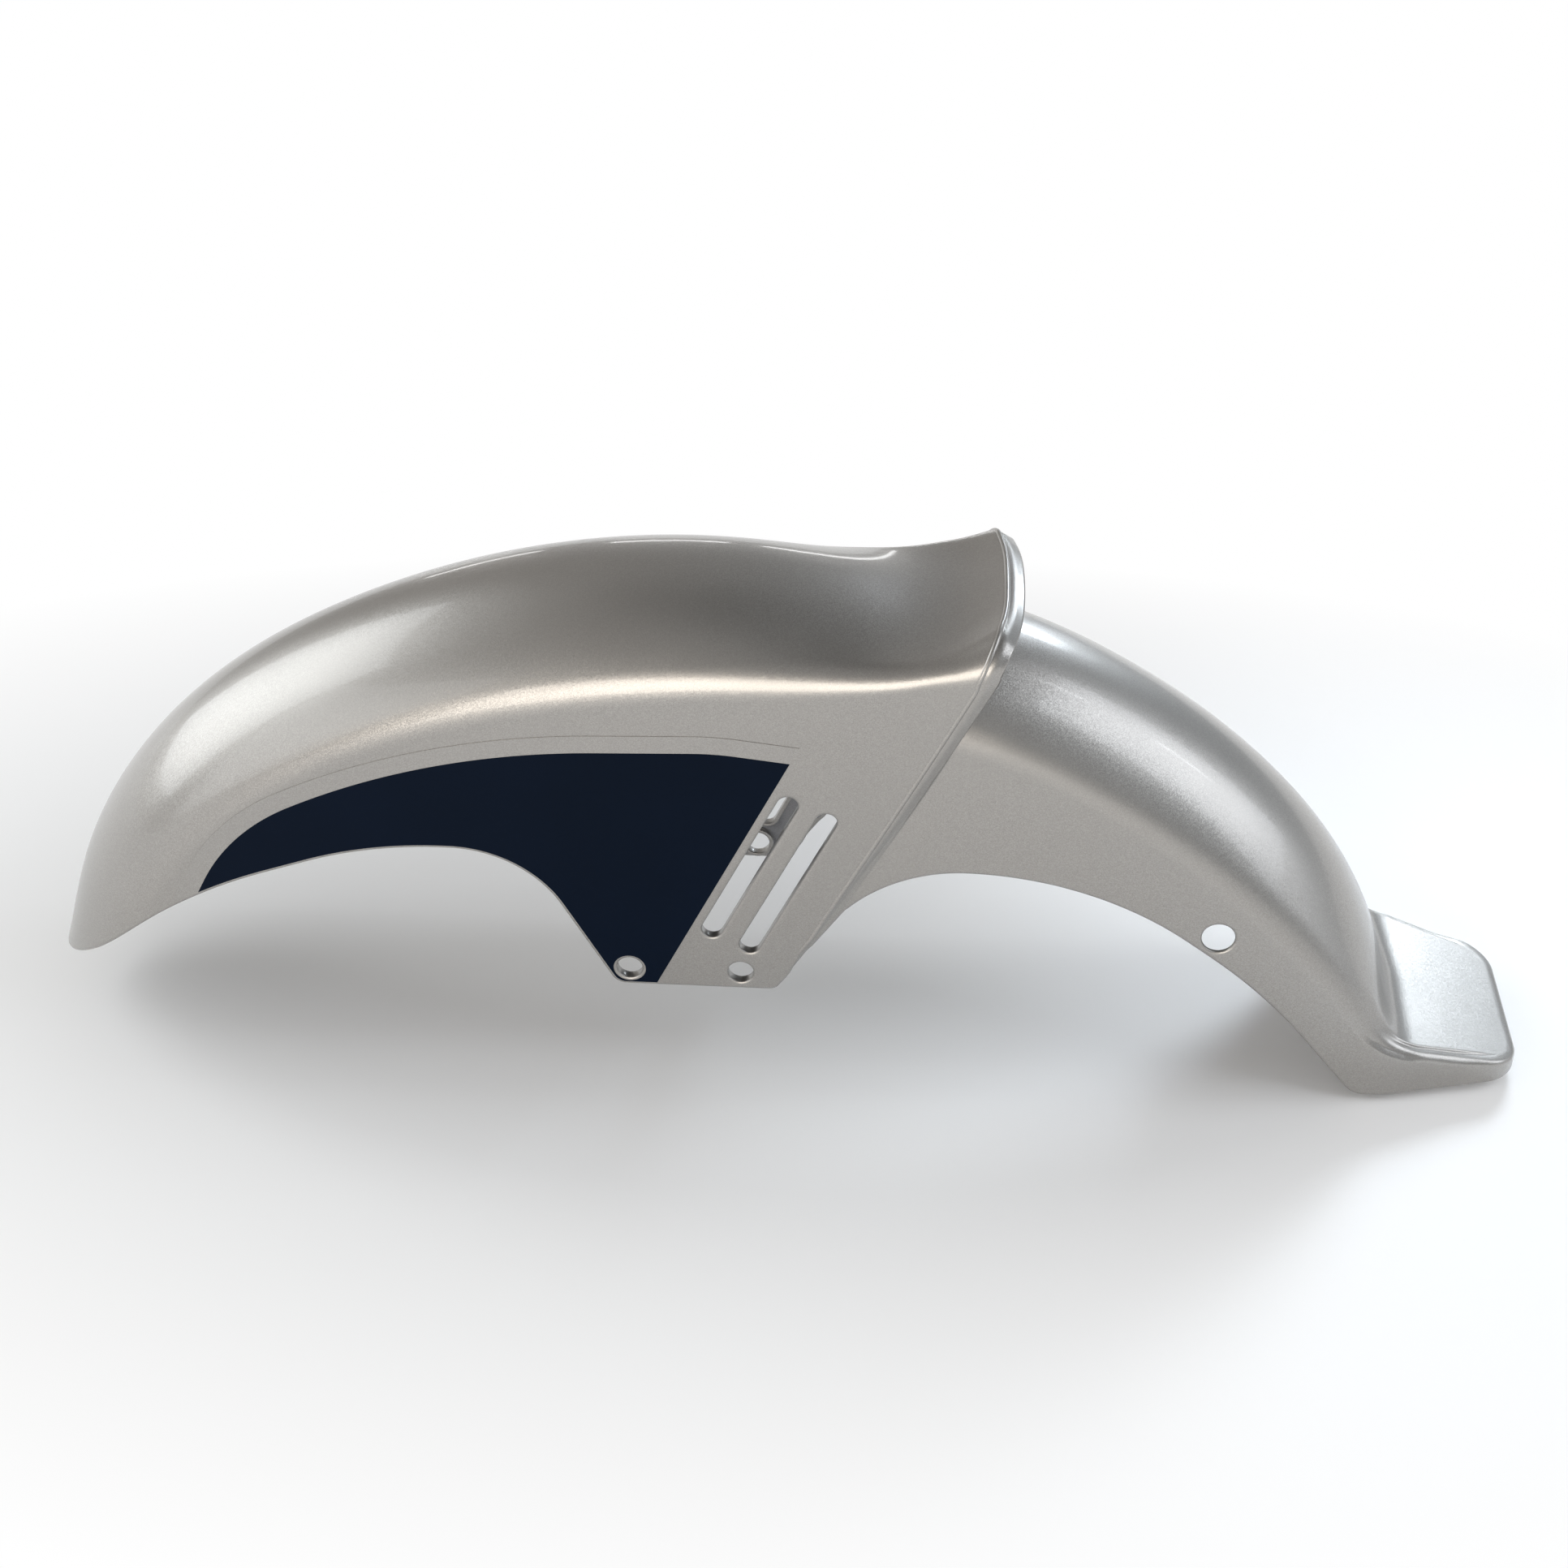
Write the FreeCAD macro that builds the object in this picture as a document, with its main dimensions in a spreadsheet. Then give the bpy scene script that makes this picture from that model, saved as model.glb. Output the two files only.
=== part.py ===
import FreeCAD, Part
import math
import os

import Sketcher
from FreeCAD import Placement, Rotation, Vector

# A front mudguard for a small motorcycle, moulded as one shell. Lengths are in millimetres.
# The frame: +X to the rear, +Y to the right-hand side, +Z up. The origin is the middle of
# the pattern of fork bolts, halfway between the two tabs.
doc = FreeCAD.newDocument("mudguard")
sheet = doc.addObject("Spreadsheet::Sheet", "Sheet")
sheet_rows = 0


def dimension(alias, number, note):
    """Adds one driving dimension to the sheet."""
    global sheet_rows
    sheet_rows += 1
    sheet.set(f"A{sheet_rows}", note)
    sheet.set(f"B{sheet_rows}", str(number))
    sheet.setAlias(f"B{sheet_rows}", alias)


def size(alias):
    """Reads a driving dimension back from the sheet."""
    return float(sheet.get(alias))


dimension("wall", 3.0, "wall thickness of the moulding")

# The front half: radial sections about a point below the crown, from the nose to the lip.
dimension("front_centre_x", -24.0, "centre of the front sections, along the bike")
dimension("front_centre_z", -161.5, "centre of the front sections, height")
dimension("front_half", 67.0, "half width of the front walls at bolt height")
dimension("front_lean", 0.035, "how far the front walls lean out per unit of height")
dimension("front_inner", 120.0, "radius where the front sections stop, below the tabs")
FRONT = {
    "nose": (-76.0, 384.0, 78.0, 34.0),
    "brow": (-60.0, 389.0, 78.0, 34.0),
    "cheek": (-44.0, 394.0, 80.0, 31.0),
    "fore": (-26.0, 391.0, 82.0, 30.0),
    "crown": (-8.0, 393.0, 82.0, 30.0),
    "rise": (8.0, 398.0, 94.0, 26.0),
    "saddle": (18.0, 400.5, 165.0, 18.0),
    "lip": (27.0, 435.0, 650.0, 17.0),
}
for station, (angle, crest, crown, shoulder) in FRONT.items():
    dimension(f"front_angle_{station}", angle, f"tilt of the {station} section, from upright")
    dimension(f"front_crest_{station}", crest, f"radius of the crest at the {station} section")
    dimension(f"front_crown_{station}", crown, f"rounding of the crown at the {station} section")
    dimension(f"front_shoulder_{station}", shoulder, f"rounding of the shoulder at the {station} section")

# The rear half: lower and narrower, so that it passes between the fork legs. Its crown
# flattens towards the tail, where the flap joins it in a straight line.
dimension("rear_centre_x", 56.0, "centre of the rear sections, along the bike")
dimension("rear_centre_z", -173.5, "centre of the rear sections, height")
dimension("rear_inner", 130.0, "radius where the rear sections stop")
REAR = {
    "hidden": (1.0, 389.0, 65.5, 72.0, 32.0),
    "neck": (20.0, 391.0, 65.5, 72.0, 32.0),
    "back": (38.0, 389.0, 66.5, 74.0, 32.0),
    "haunch": (54.0, 389.0, 68.5, 92.0, 28.0),
    "rump": (66.0, 383.0, 70.5, 250.0, 18.0),
    "tail": (78.0, 366.0, 73.0, 700.0, 10.0),
}
for station, (angle, crest, half, crown, shoulder) in REAR.items():
    dimension(f"rear_angle_{station}", angle, f"tilt of the {station} section, from upright")
    dimension(f"rear_crest_{station}", crest, f"radius of the crest at the {station} section")
    dimension(f"rear_half_{station}", half, f"half width at the {station} section")
    dimension(f"rear_crown_{station}", crown, f"rounding of the crown at the {station} section")
    dimension(f"rear_shoulder_{station}", shoulder, f"rounding of the shoulder at the {station} section")

# The tail flap: a nearly flat plate that kicks out behind the rear half.
dimension("flap_root_x", 380.0, "where the flap starts, inside the rear half")
dimension("flap_end_x", 484.0, "end of the flap")
dimension("flap_root_half", 67.0, "half width of the flap where it starts")
dimension("flap_knee_x", 398.0, "widest place of the flap, along the bike")
dimension("flap_knee_half", 74.0, "half width of the flap at its widest place")
dimension("flap_knee_rounding", 60.0, "rounding of the flap at its widest place")
dimension("flap_end_half", 55.0, "half width of the flap at its end")
dimension("flap_root_z", -26.0, "height of the plate at its root")
dimension("flap_end_z", -54.5, "height of the plate at its end")
dimension("flap_camber", 2000.0, "rounding of the plate across its width")
dimension("flap_block_half", 110.0, "half width of the blocks the flap is cut from")
dimension("flap_edge", 5.0, "rounding of those blocks, outside the flap")
dimension("flap_corner", 24.0, "rounding of the flap's outer corners")
dimension("ledge_drop", 1.4, "how far the ledges beside the plate lie below it")
dimension("ledge_width", 7.0, "width of the ledges beside the plate")
dimension("flap_base", 200.0, "depth below the axis from which the flap's sections are measured")
dimension("flap_ledge_floor", 60.0, "lower end of the block below the ledges")
dimension("flap_plate_floor", 50.0, "lower end of the block below the plate")
dimension("flap_under_floor", 40.0, "lower end of the block that hollows the flap")

# The sloped band behind the lip.
dimension("band_angle", 28.4, "tilt of the section where the band ends, from upright")
dimension("band_wall", 0.45, "angle taken up by the wall behind the band")
dimension("band_drop", 4.5, "how far the band runs in at the sides")
dimension("band_crest", 436.0, "radius of the crest where the band ends")
dimension("band_crown", 300.0, "rounding of the crown where the band ends")
dimension("band_shoulder", 14.0, "rounding of the band's corners")

# Fork tabs, slots and stay hole.
dimension("bolt_spacing", 64.0, "distance between the two fork bolts")
dimension("bolt_hole", 14.7, "diameter of the fork bolt holes")
dimension("slot_length", 110.0, "length of a tab slot, end to end")
dimension("slot_width", 12.0, "width of a tab slot")
dimension("slot_rake", 25.9, "lean of the slots from upright")
dimension("slot_x", 48.2, "middle of the pair of slots, along the bike")
dimension("slot_z", 70.0, "middle of the pair of slots, height")
dimension("slot_pitch", 23.7, "distance between the two slots")
dimension("rim_width", 3.0, "width of the return inside each slot and bolt hole")
dimension("rim_height", 3.0, "height of the return inside each slot and bolt hole")
dimension("stay_hole", 19.0, "diameter of the rear stay hole")
dimension("stay_x", 300.0, "rear stay hole, along the bike")
dimension("stay_z", 38.5, "rear stay hole, height")

dimension("block_width", 600.0, "width of the blocks padded from side views")
dimension("block_length", 1200.0, "length of the boxes that part the two decals")

dimension("film", 0.3, "thickness of the decal film")
dimension("film_margin", 1.5, "gap between the decal and the edge of the wall")
dimension("film_hole_margin", 1.0, "gap between the decal and a bolt hole")

# Corners of the lower edge in side view, each with its rounding (0 is a sharp corner).
LOWER_EDGE = {
    "nose": (-460.0, -99.0, 0.0),
    "nose_bend": (-286.2, 41.2, 316.0),
    "front_arch": (-174.6, 81.5, 228.0),
    "tab_front_top": (-89.0, 81.5, 69.0),
    "tab_front": (-40.0, -12.0, 10.0),
    "tab_rear": (52.3, -12.0, 8.0),
    "tab_rear_top": (108.5, 74.5, 92.0),
    "rear_arch": (227.5, 74.5, 215.0),
    "rear_run": (329.2, 1.3, 317.0),
    "tail": (386.0, -67.0, 12.0),
    "flap": (520.0, -64.0, 0.0),
    "above_flap": (520.0, 300.0, 0.0),
    "above_nose": (-460.0, 300.0, 0.0),
}
# Corners of the decal: a long horn under the shoulder with one straight, raked rear edge.
DECAL = {
    "decal_tip": (-290.0, 20.0, 0.0),
    "decal_horn": (-254.0, 88.0, 126.0),
    "decal_brow": (-136.0, 147.3, 412.0),
    "decal_top": (19.0, 153.0, 158.0),
    "decal_corner": (60.3, 148.0, 0.0),
    "decal_foot": (-21.3, -20.0, 0.0),
    "decal_below": (-300.0, -20.0, 0.0),
}
for corners in (LOWER_EDGE, DECAL):
    for name, (x, z, rounding) in corners.items():
        dimension(f"{name}_x", x, f"{name} corner, along the bike")
        dimension(f"{name}_z", z, f"{name} corner, height")
        dimension(f"{name}_rounding", rounding, f"rounding of the {name} corner")
doc.recompute()


def new_body(name):
    """Starts an empty body."""
    return doc.addObject("PartDesign::Body", name)


def new_sketch(body, name, role, offset):
    """Starts a sketch on one of the body's own origin planes, moved by an offset."""
    sketch = body.newObject("Sketcher::SketchObject", name)
    plane = next(item for item in body.Origin.OriginFeatures if item.Role == role)
    sketch.AttachmentSupport = [(plane, "")]
    sketch.MapMode = "FlatFace"
    sketch.AttachmentOffset = offset
    return sketch


def constrain(sketch, expression, *words):
    """Adds a constraint and, when an expression is given, binds its size to the sheet."""
    index = sketch.addConstraint(Sketcher.Constraint(*words))
    if expression:
        sketch.setExpression(f"Constraints[{index}]", expression)


def section(body, name, centre, tilt, wall, floor, crest, crown, shoulder):
    """Draws one arched section: two walls, two shoulders and a crown, in a plane through +Y.

    centre, tilt, floor, crest, crown and shoulder are (number, expression) pairs. wall is a
    pair of such pairs: the half width at radius 0 and its growth per unit of radius.
    """
    (centre_x, x_text), (centre_z, z_text) = centre
    (half, half_text), (growth, growth_text) = wall
    offset = Placement(Vector(0, centre_z, centre_x), Rotation(Vector(1, 0, 0), tilt[0]))
    sketch = new_sketch(body, name, "YZ_Plane", offset)
    turn = f"rotation(vector(1; 0; 0); {tilt[1]})"
    sketch.setExpression("AttachmentOffset", f"placement(vector(0; {z_text}; {x_text}); {turn})")

    stretch = math.hypot(1.0, growth)
    across, along = 1.0 / stretch, -growth / stretch
    hub = crest[0] - crown[0]
    start_y = half - shoulder[0] * across
    start_r = -shoulder[0] * along - hub
    a = growth**2 + 1.0
    b = start_y * growth + start_r
    c = start_y**2 + start_r**2 - (crown[0] - shoulder[0]) ** 2
    reach = (-b + math.sqrt(b * b - a * c)) / a
    pivot_y = start_y + reach * growth
    pivot_r = hub + start_r + reach
    top_y = pivot_y + shoulder[0] * across
    top_r = pivot_r + shoulder[0] * along
    wall_angle = math.atan2(along, across)
    joint_angle = math.atan2(pivot_r - hub, pivot_y)
    low_y = half + growth * floor[0]

    up = Vector(0, 0, 1)
    crown_circle = Part.Circle(Vector(0, hub, 0), up, crown[0])
    right_circle = Part.Circle(Vector(pivot_y, pivot_r, 0), up, shoulder[0])
    left_circle = Part.Circle(Vector(-pivot_y, pivot_r, 0), up, shoulder[0])
    sketch.addGeometry(Part.LineSegment(Vector(low_y, floor[0], 0), Vector(top_y, top_r, 0)))
    sketch.addGeometry(Part.ArcOfCircle(right_circle, wall_angle, joint_angle))
    sketch.addGeometry(Part.ArcOfCircle(crown_circle, joint_angle, math.pi - joint_angle))
    sketch.addGeometry(Part.ArcOfCircle(left_circle, math.pi - joint_angle, math.pi - wall_angle))
    sketch.addGeometry(Part.LineSegment(Vector(-top_y, top_r, 0), Vector(-low_y, floor[0], 0)))
    sketch.addGeometry(Part.LineSegment(Vector(-low_y, floor[0], 0), Vector(low_y, floor[0], 0)))

    for first in range(4):
        constrain(sketch, None, "Tangent", first, 2, first + 1, 1)
    constrain(sketch, None, "Coincident", 4, 2, 5, 1)
    constrain(sketch, None, "Coincident", 5, 2, 0, 1)
    constrain(sketch, None, "Symmetric", 0, 1, 4, 2, -2)
    constrain(sketch, None, "Symmetric", 0, 2, 4, 1, -2)
    constrain(sketch, None, "PointOnObject", 2, 3, -2)
    lean_text = f"90 deg - atan({growth_text})"
    constrain(sketch, lean_text, "Angle", 0, math.pi / 2 - math.atan(growth))
    constrain(sketch, f"{half_text} + {growth_text} * {floor[1]}", "DistanceX", -1, 1, 0, 1, low_y)
    constrain(sketch, floor[1], "DistanceY", -1, 1, 0, 1, floor[0])
    constrain(sketch, shoulder[1], "Radius", 1, shoulder[0])
    constrain(sketch, crown[1], "Radius", 2, crown[0])
    constrain(sketch, f"{crest[1]} - ({crown[1]})", "DistanceY", -1, 1, 2, 3, hub)
    return sketch


def sized(alias, less=0.0, less_text=""):
    """A (number, expression) pair for a dimension, with an optional amount taken off."""
    return size(alias) - less, f"(Sheet.{alias}{less_text})"


def loft(body, sketches, ruled):
    """A solid loft through the sketches, in order."""
    feature = body.newObject("PartDesign::AdditiveLoft", body.Name + "_loft")
    feature.Profile = sketches[0]
    feature.Sections = sketches[1:]
    feature.Ruled = ruled
    return feature


def front_half(name, skin):
    """The front half as a solid, inset by skin walls (0 for outside, 1 for inside)."""
    body = new_body(name)
    less = skin * size("wall")
    text = f" - {skin} * Sheet.wall" if skin else ""
    centre = (sized("front_centre_x"), sized("front_centre_z"))
    sketches = []
    for station in FRONT:
        tilt = sized(f"front_angle_{station}")
        cosine = math.cos(math.radians(tilt[0]))
        growth = (size("front_lean") * cosine, f"(Sheet.front_lean * cos({tilt[1]}))")
        half = (
            size("front_half") + size("front_lean") * size("front_centre_z") - less,
            f"(Sheet.front_half + Sheet.front_lean * Sheet.front_centre_z{text})",
        )
        sketches.append(
            section(
                body,
                f"{name}_{station}",
                centre,
                tilt,
                (half, growth),
                sized("front_inner", 2 * less, f" - 2 * {skin} * Sheet.wall" if skin else ""),
                sized(f"front_crest_{station}", less, text),
                sized(f"front_crown_{station}", less, text),
                sized(f"front_shoulder_{station}", less, text),
            )
        )
    loft(body, sketches, False)
    back = skin * size("band_wall") if skin > 0 else 0.0
    drop = size("band_drop")
    end = section(
        body,
        f"{name}_band",
        centre,
        sized("band_angle", back, f" - {skin} * Sheet.band_wall" if back else ""),
        ((half[0] - drop, f"({half[1]} - Sheet.band_drop)"), growth),
        sized("front_inner", 2 * less, f" - 2 * {skin} * Sheet.wall" if skin else ""),
        sized("band_crest", less, text),
        sized("band_crown", less, text),
        sized("band_shoulder", 0.5 * less, f" - 0.5 * {skin} * Sheet.wall" if skin else ""),
    )
    loft(body, [sketches[-1], end], True)
    return body


def rear_half(name, skin):
    """The rear half as a solid, inset by skin walls."""
    body = new_body(name)
    less = skin * size("wall")
    text = f" - {skin} * Sheet.wall" if skin else ""
    centre = (sized("rear_centre_x"), sized("rear_centre_z"))
    sketches = []
    for station in REAR:
        half = sized(f"rear_half_{station}", less, text)
        sketches.append(
            section(
                body,
                f"{name}_{station}",
                centre,
                sized(f"rear_angle_{station}"),
                (half, (0.0, "0")),
                sized("rear_inner", 2 * less, f" - 2 * {skin} * Sheet.wall" if skin else ""),
                sized(f"rear_crest_{station}", less, text),
                sized(f"rear_crown_{station}", less, text),
                sized(f"rear_shoulder_{station}", less, text),
            )
        )
    loft(body, sketches, False)
    return body


def flap_block(name, below, floor):
    """A wide block whose cambered top follows the flap, lower than the plate by below."""
    body = new_body(name)
    sketches = []
    for end in ("root", "end"):
        centre = (sized(f"flap_{end}_x"), (-size("flap_base"), "(-Sheet.flap_base)"))
        crest = (
            size("flap_base") + size(f"flap_{end}_z") - below[0],
            f"(Sheet.flap_base + Sheet.flap_{end}_z - ({below[1]}))",
        )
        sketches.append(
            section(
                body,
                f"{name}_{end}",
                centre,
                (0.0, "0"),
                (sized("flap_block_half"), (0.0, "0")),
                floor,
                crest,
                sized("flap_camber"),
                sized("flap_edge"),
            )
        )
    loft(body, sketches, True)
    return body


def flap_plan(name, inset, text, inset_end=True):
    """An upright block with the flap's outline in plan, inset at its sides and, if asked, its end."""
    body = new_body(name)
    right = [
        ("flap_end", size("flap_corner") - inset / 2, f"Sheet.flap_corner + (0{text}) / 2"),
        ("flap_knee", size("flap_knee_rounding"), "Sheet.flap_knee_rounding"),
        ("flap_root", 0.0, ""),
    ]
    corners = []
    for side in (1, -1):
        for label, radius, radius_text in right if side > 0 else right[::-1]:
            back, back_text = (inset, text) if inset_end and label == "flap_end" else (0.0, "")
            x = (size(f"{label}_x") - back, f"Sheet.{label}_x{back_text}")
            y = (side * (size(f"{label}_half") - inset), f"{side} * (Sheet.{label}_half{text})")
            corners.append((x, y, (radius, radius_text)))
    outline_block(body, "XY_Plane", corners)
    return body


def outline_block(body, role, corners):
    """Pads a closed outline of rounded corners; each corner is x, y and rounding as (number, text)."""
    sketch = new_sketch(body, body.Name + "_outline", role, Placement())
    points = [Vector(x[0], y[0], 0) for x, y, _ in corners]
    count = len(points)
    arrivals, departures = [], []
    for i, (_, _, rounding) in enumerate(corners):
        back = (points[i - 1] - points[i]).normalize()
        ahead = (points[(i + 1) % count] - points[i]).normalize()
        run = rounding[0] / math.tan(back.getAngle(ahead) / 2)
        arrivals.append(points[i] + back * run)
        departures.append(points[i] + ahead * run)
    for i in range(count):
        sketch.addGeometry(Part.LineSegment(departures[i], arrivals[(i + 1) % count]))
    for i, (x, y, rounding) in enumerate(corners):
        before, corner, arrive, leave = (i - 1) % count, points[i], arrivals[i], departures[i]
        if not rounding[0]:
            constrain(sketch, None, "Coincident", before, 2, i, 1)
            constrain(sketch, x[1], "DistanceX", -1, 1, i, 1, corner.x)
            constrain(sketch, y[1], "DistanceY", -1, 1, i, 1, corner.y)
            continue
        inward = ((arrive + leave) * 0.5 - corner).normalize()
        hub = corner + inward * math.hypot((corner - arrive).Length, rounding[0])
        left_turn = (corner - arrive).cross(leave - corner).z > 0
        first, last = (1, 2) if left_turn else (2, 1)
        begin, end = (arrive, leave) if left_turn else (leave, arrive)
        begin_angle = math.atan2(begin.y - hub.y, begin.x - hub.x)
        end_angle = math.atan2(end.y - hub.y, end.x - hub.x)
        ring = Part.Circle(hub, Vector(0, 0, 1), rounding[0])
        arc = sketch.addGeometry(Part.ArcOfCircle(ring, begin_angle, end_angle))
        constrain(sketch, None, "Tangent", before, 2, arc, first)
        constrain(sketch, None, "Tangent", arc, last, i, 1)
        constrain(sketch, rounding[1], "Radius", arc, rounding[0])
        mark = sketch.addGeometry(Part.Point(corner), True)
        constrain(sketch, None, "PointOnObject", mark, 1, before)
        constrain(sketch, None, "PointOnObject", mark, 1, i)
        constrain(sketch, x[1], "DistanceX", -1, 1, mark, 1, corner.x)
        constrain(sketch, y[1], "DistanceY", -1, 1, mark, 1, corner.y)
    pad(body, sketch)


def side_block(name, corners, lift=(0.0, "")):
    """A wide block with a side-view outline from the sheet, lifted by a (number, text) pair."""
    body = new_body(name)
    bound = []
    for label in corners:
        z = (size(f"{label}_z") + lift[0], f"Sheet.{label}_z{lift[1]}")
        bound.append((sized(f"{label}_x"), z, sized(f"{label}_rounding")))
    outline_block(body, "XZ_Plane", bound)
    return body


def pad(body, sketch):
    """Pads a sketch to both sides, farther than the mudguard reaches."""
    feature = body.newObject("PartDesign::Pad", body.Name + "_pad")
    feature.Profile = sketch
    feature.setExpression("Length", "Sheet.block_width")
    feature.SideType = "Symmetric"
    return feature


def obround(sketch, first, last, width):
    """Adds a slot outline between two round ends; ends and width are (number, expression) pairs."""
    radius = width[0] / 2
    start, end = (Vector(x[0], z[0], 0) for x, z in (first, last))
    side = Vector(-(end - start).y, (end - start).x, 0).normalize() * radius
    tip = (end - start).normalize() * radius
    base = sketch.GeometryCount
    sketch.addGeometry(Part.LineSegment(start - side, end - side))
    sketch.addGeometry(Part.Arc(end - side, end + tip, end + side))
    sketch.addGeometry(Part.LineSegment(end + side, start + side))
    sketch.addGeometry(Part.Arc(start + side, start - tip, start - side))
    for i in range(4):
        constrain(sketch, None, "Tangent", base + i, 2, base + (i + 1) % 4, 1)
    constrain(sketch, None, "Equal", base + 1, base + 3)
    constrain(sketch, f"({width[1]}) / 2", "Radius", base + 1, radius)
    for arc, (x, x_text), (z, z_text) in ((base + 3, *first), (base + 1, *last)):
        constrain(sketch, x_text, "DistanceX", -1, 1, arc, 3, x)
        constrain(sketch, z_text, "DistanceY", -1, 1, arc, 3, z)


def circle(sketch, x, z, width):
    """Adds a round outline; centre and width are (number, expression) pairs."""
    ring = sketch.addGeometry(Part.Circle(Vector(x[0], z[0], 0), Vector(0, 0, 1), width[0] / 2))
    constrain(sketch, f"({width[1]}) / 2", "Radius", ring, width[0] / 2)
    constrain(sketch, x[1], "DistanceX", -1, 1, ring, 3, x[0])
    constrain(sketch, z[1], "DistanceY", -1, 1, ring, 3, z[0])


def tab_openings(name, grow, text, with_stay):
    """Bars through both walls at the slots and bolt holes, wider by grow on every side."""
    body = new_body(name)
    sketch = new_sketch(body, name + "_outline", "XZ_Plane", Placement())
    lean = math.radians(size("slot_rake"))
    reach = (size("slot_length") - size("slot_width")) / 2
    reach_text = "(Sheet.slot_length - Sheet.slot_width) / 2"
    slot_width = (size("slot_width") + 2 * grow, f"Sheet.slot_width{text}")
    for sign in (-1, 1):
        ends = []
        for way in (-1, 1):
            across = sign * size("slot_pitch") / 2
            x = size("slot_x") + across * math.cos(lean) + way * reach * math.sin(lean)
            z = size("slot_z") - across * math.sin(lean) + way * reach * math.cos(lean)
            cosine, sine = "cos(Sheet.slot_rake)", "sin(Sheet.slot_rake)"
            shift = f"{sign} * Sheet.slot_pitch / 2"
            x_text = f"Sheet.slot_x + {shift} * {cosine} + {way} * {reach_text} * {sine}"
            z_text = f"Sheet.slot_z - {shift} * {sine} + {way} * {reach_text} * {cosine}"
            ends.append(((x, x_text), (z, z_text)))
        obround(sketch, ends[0], ends[1], slot_width)
    hole = (size("bolt_hole") + 2 * grow, f"Sheet.bolt_hole{text}")
    level = (0.0, "0")
    for sign in (-1, 1):
        circle(sketch, (sign * size("bolt_spacing") / 2, f"{sign} * Sheet.bolt_spacing / 2"), level, hole)
    if with_stay:
        circle(sketch, sized("stay_x"), sized("stay_z"), sized("stay_hole"))
    pad(body, sketch)
    return body


def combine(kind, name, first, *others):
    """A boolean of document objects: Fuse, Common or Cut."""
    if kind == "Cut":
        result = doc.addObject("Part::Cut", name)
        result.Base, result.Tool = first, others[0]
        return result
    result = doc.addObject("Part::MultiFuse" if kind == "Fuse" else "Part::MultiCommon", name)
    result.Shapes = [first, *others]
    return result


# The solid the shell is hollowed from, and the solid that hollows it.
front_outer = front_half("front_outer", 0)
front_inner = front_half("front_inner", 1)
rear_outer = rear_half("rear_outer", 0)
rear_inner = rear_half("rear_inner", 1)

# The flap: a flat plate with a lower ledge along each side.
flap_ledge = flap_block("flap_ledge", sized("ledge_drop"), sized("flap_ledge_floor"))
flap_plate = flap_block("flap_plate", (0.0, "0"), sized("flap_plate_floor"))
under_drop = (size("wall") + size("ledge_drop"), "Sheet.wall + Sheet.ledge_drop")
flap_under = flap_block("flap_under", under_drop, sized("flap_under_floor"))
flap_shape = flap_plan("flap_shape", 0.0, "")
plate_shape = flap_plan("plate_shape", size("ledge_width"), " - Sheet.ledge_width", False)
hollow_shape = flap_plan("hollow_shape", size("wall"), " - Sheet.wall")
ledges = combine("Common", "ledges", flap_ledge, flap_shape)
plate = combine("Common", "plate", flap_plate, plate_shape)
flap_outer = combine("Fuse", "flap_outer", ledges, plate)
flap_inner = combine("Common", "flap_inner", flap_under, hollow_shape)

# The shell: hollowed, trimmed along its lower edge, given its returns and pierced.
outside = combine("Fuse", "outside", front_outer, rear_outer, flap_outer)
inside = combine("Fuse", "inside", front_inner, rear_inner, flap_inner)
hollowed = combine("Cut", "hollowed", outside, inside)
side_view = side_block("side_view", LOWER_EDGE)
trimmed = combine("Common", "trimmed", hollowed, side_view)
rim_bars = tab_openings("rim_bars", size("rim_width"), " + 2 * Sheet.rim_width", False)
rim_depth = front_half("rim_depth", 1 + size("rim_height") / size("wall"))
rim_blocks = combine("Common", "rim_blocks", rim_bars, front_inner)
rims = combine("Cut", "rims", rim_blocks, rim_depth)
rims_trimmed = combine("Common", "rims_trimmed", rims, side_view)
rimmed = combine("Fuse", "rimmed", trimmed, rims_trimmed)
openings = tab_openings("openings", 0.0, "", True)
mudguard_shell = combine("Cut", "mudguard_shell", rimmed, openings)

# The decals: films that lie on the flat front walls, one on each side.
film_front = front_half("film_front", -size("film") / size("wall"))
film_outline = side_block("film_outline", DECAL)
film_edge = side_block("film_edge", LOWER_EDGE, (size("film_margin"), " + Sheet.film_margin"))
film_block = combine("Common", "film_block", film_front, film_outline, film_edge)
film_pair = combine("Cut", "film_pair", film_block, front_outer)
film_holes = tab_openings("film_holes", size("film_hole_margin"), " + 2 * Sheet.film_hole_margin", False)
film_pierced = combine("Cut", "film_pierced", film_pair, film_holes)
decals = []
for name, side in (("decal_left", -1), ("decal_right", 1)):
    half_space = doc.addObject("Part::Box", name + "_side")
    for edge, alias in (("Length", "length"), ("Width", "width"), ("Height", "length")):
        half_space.setExpression(edge, f"Sheet.block_{alias}")
    middle = "-Sheet.block_length / 2"
    start = "-Sheet.block_width" if side < 0 else "0"
    half_space.setExpression("Placement.Base", f"vector({middle}; {start}; {middle})")
    decals.append(combine("Common", name, film_pierced, half_space))

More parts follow.
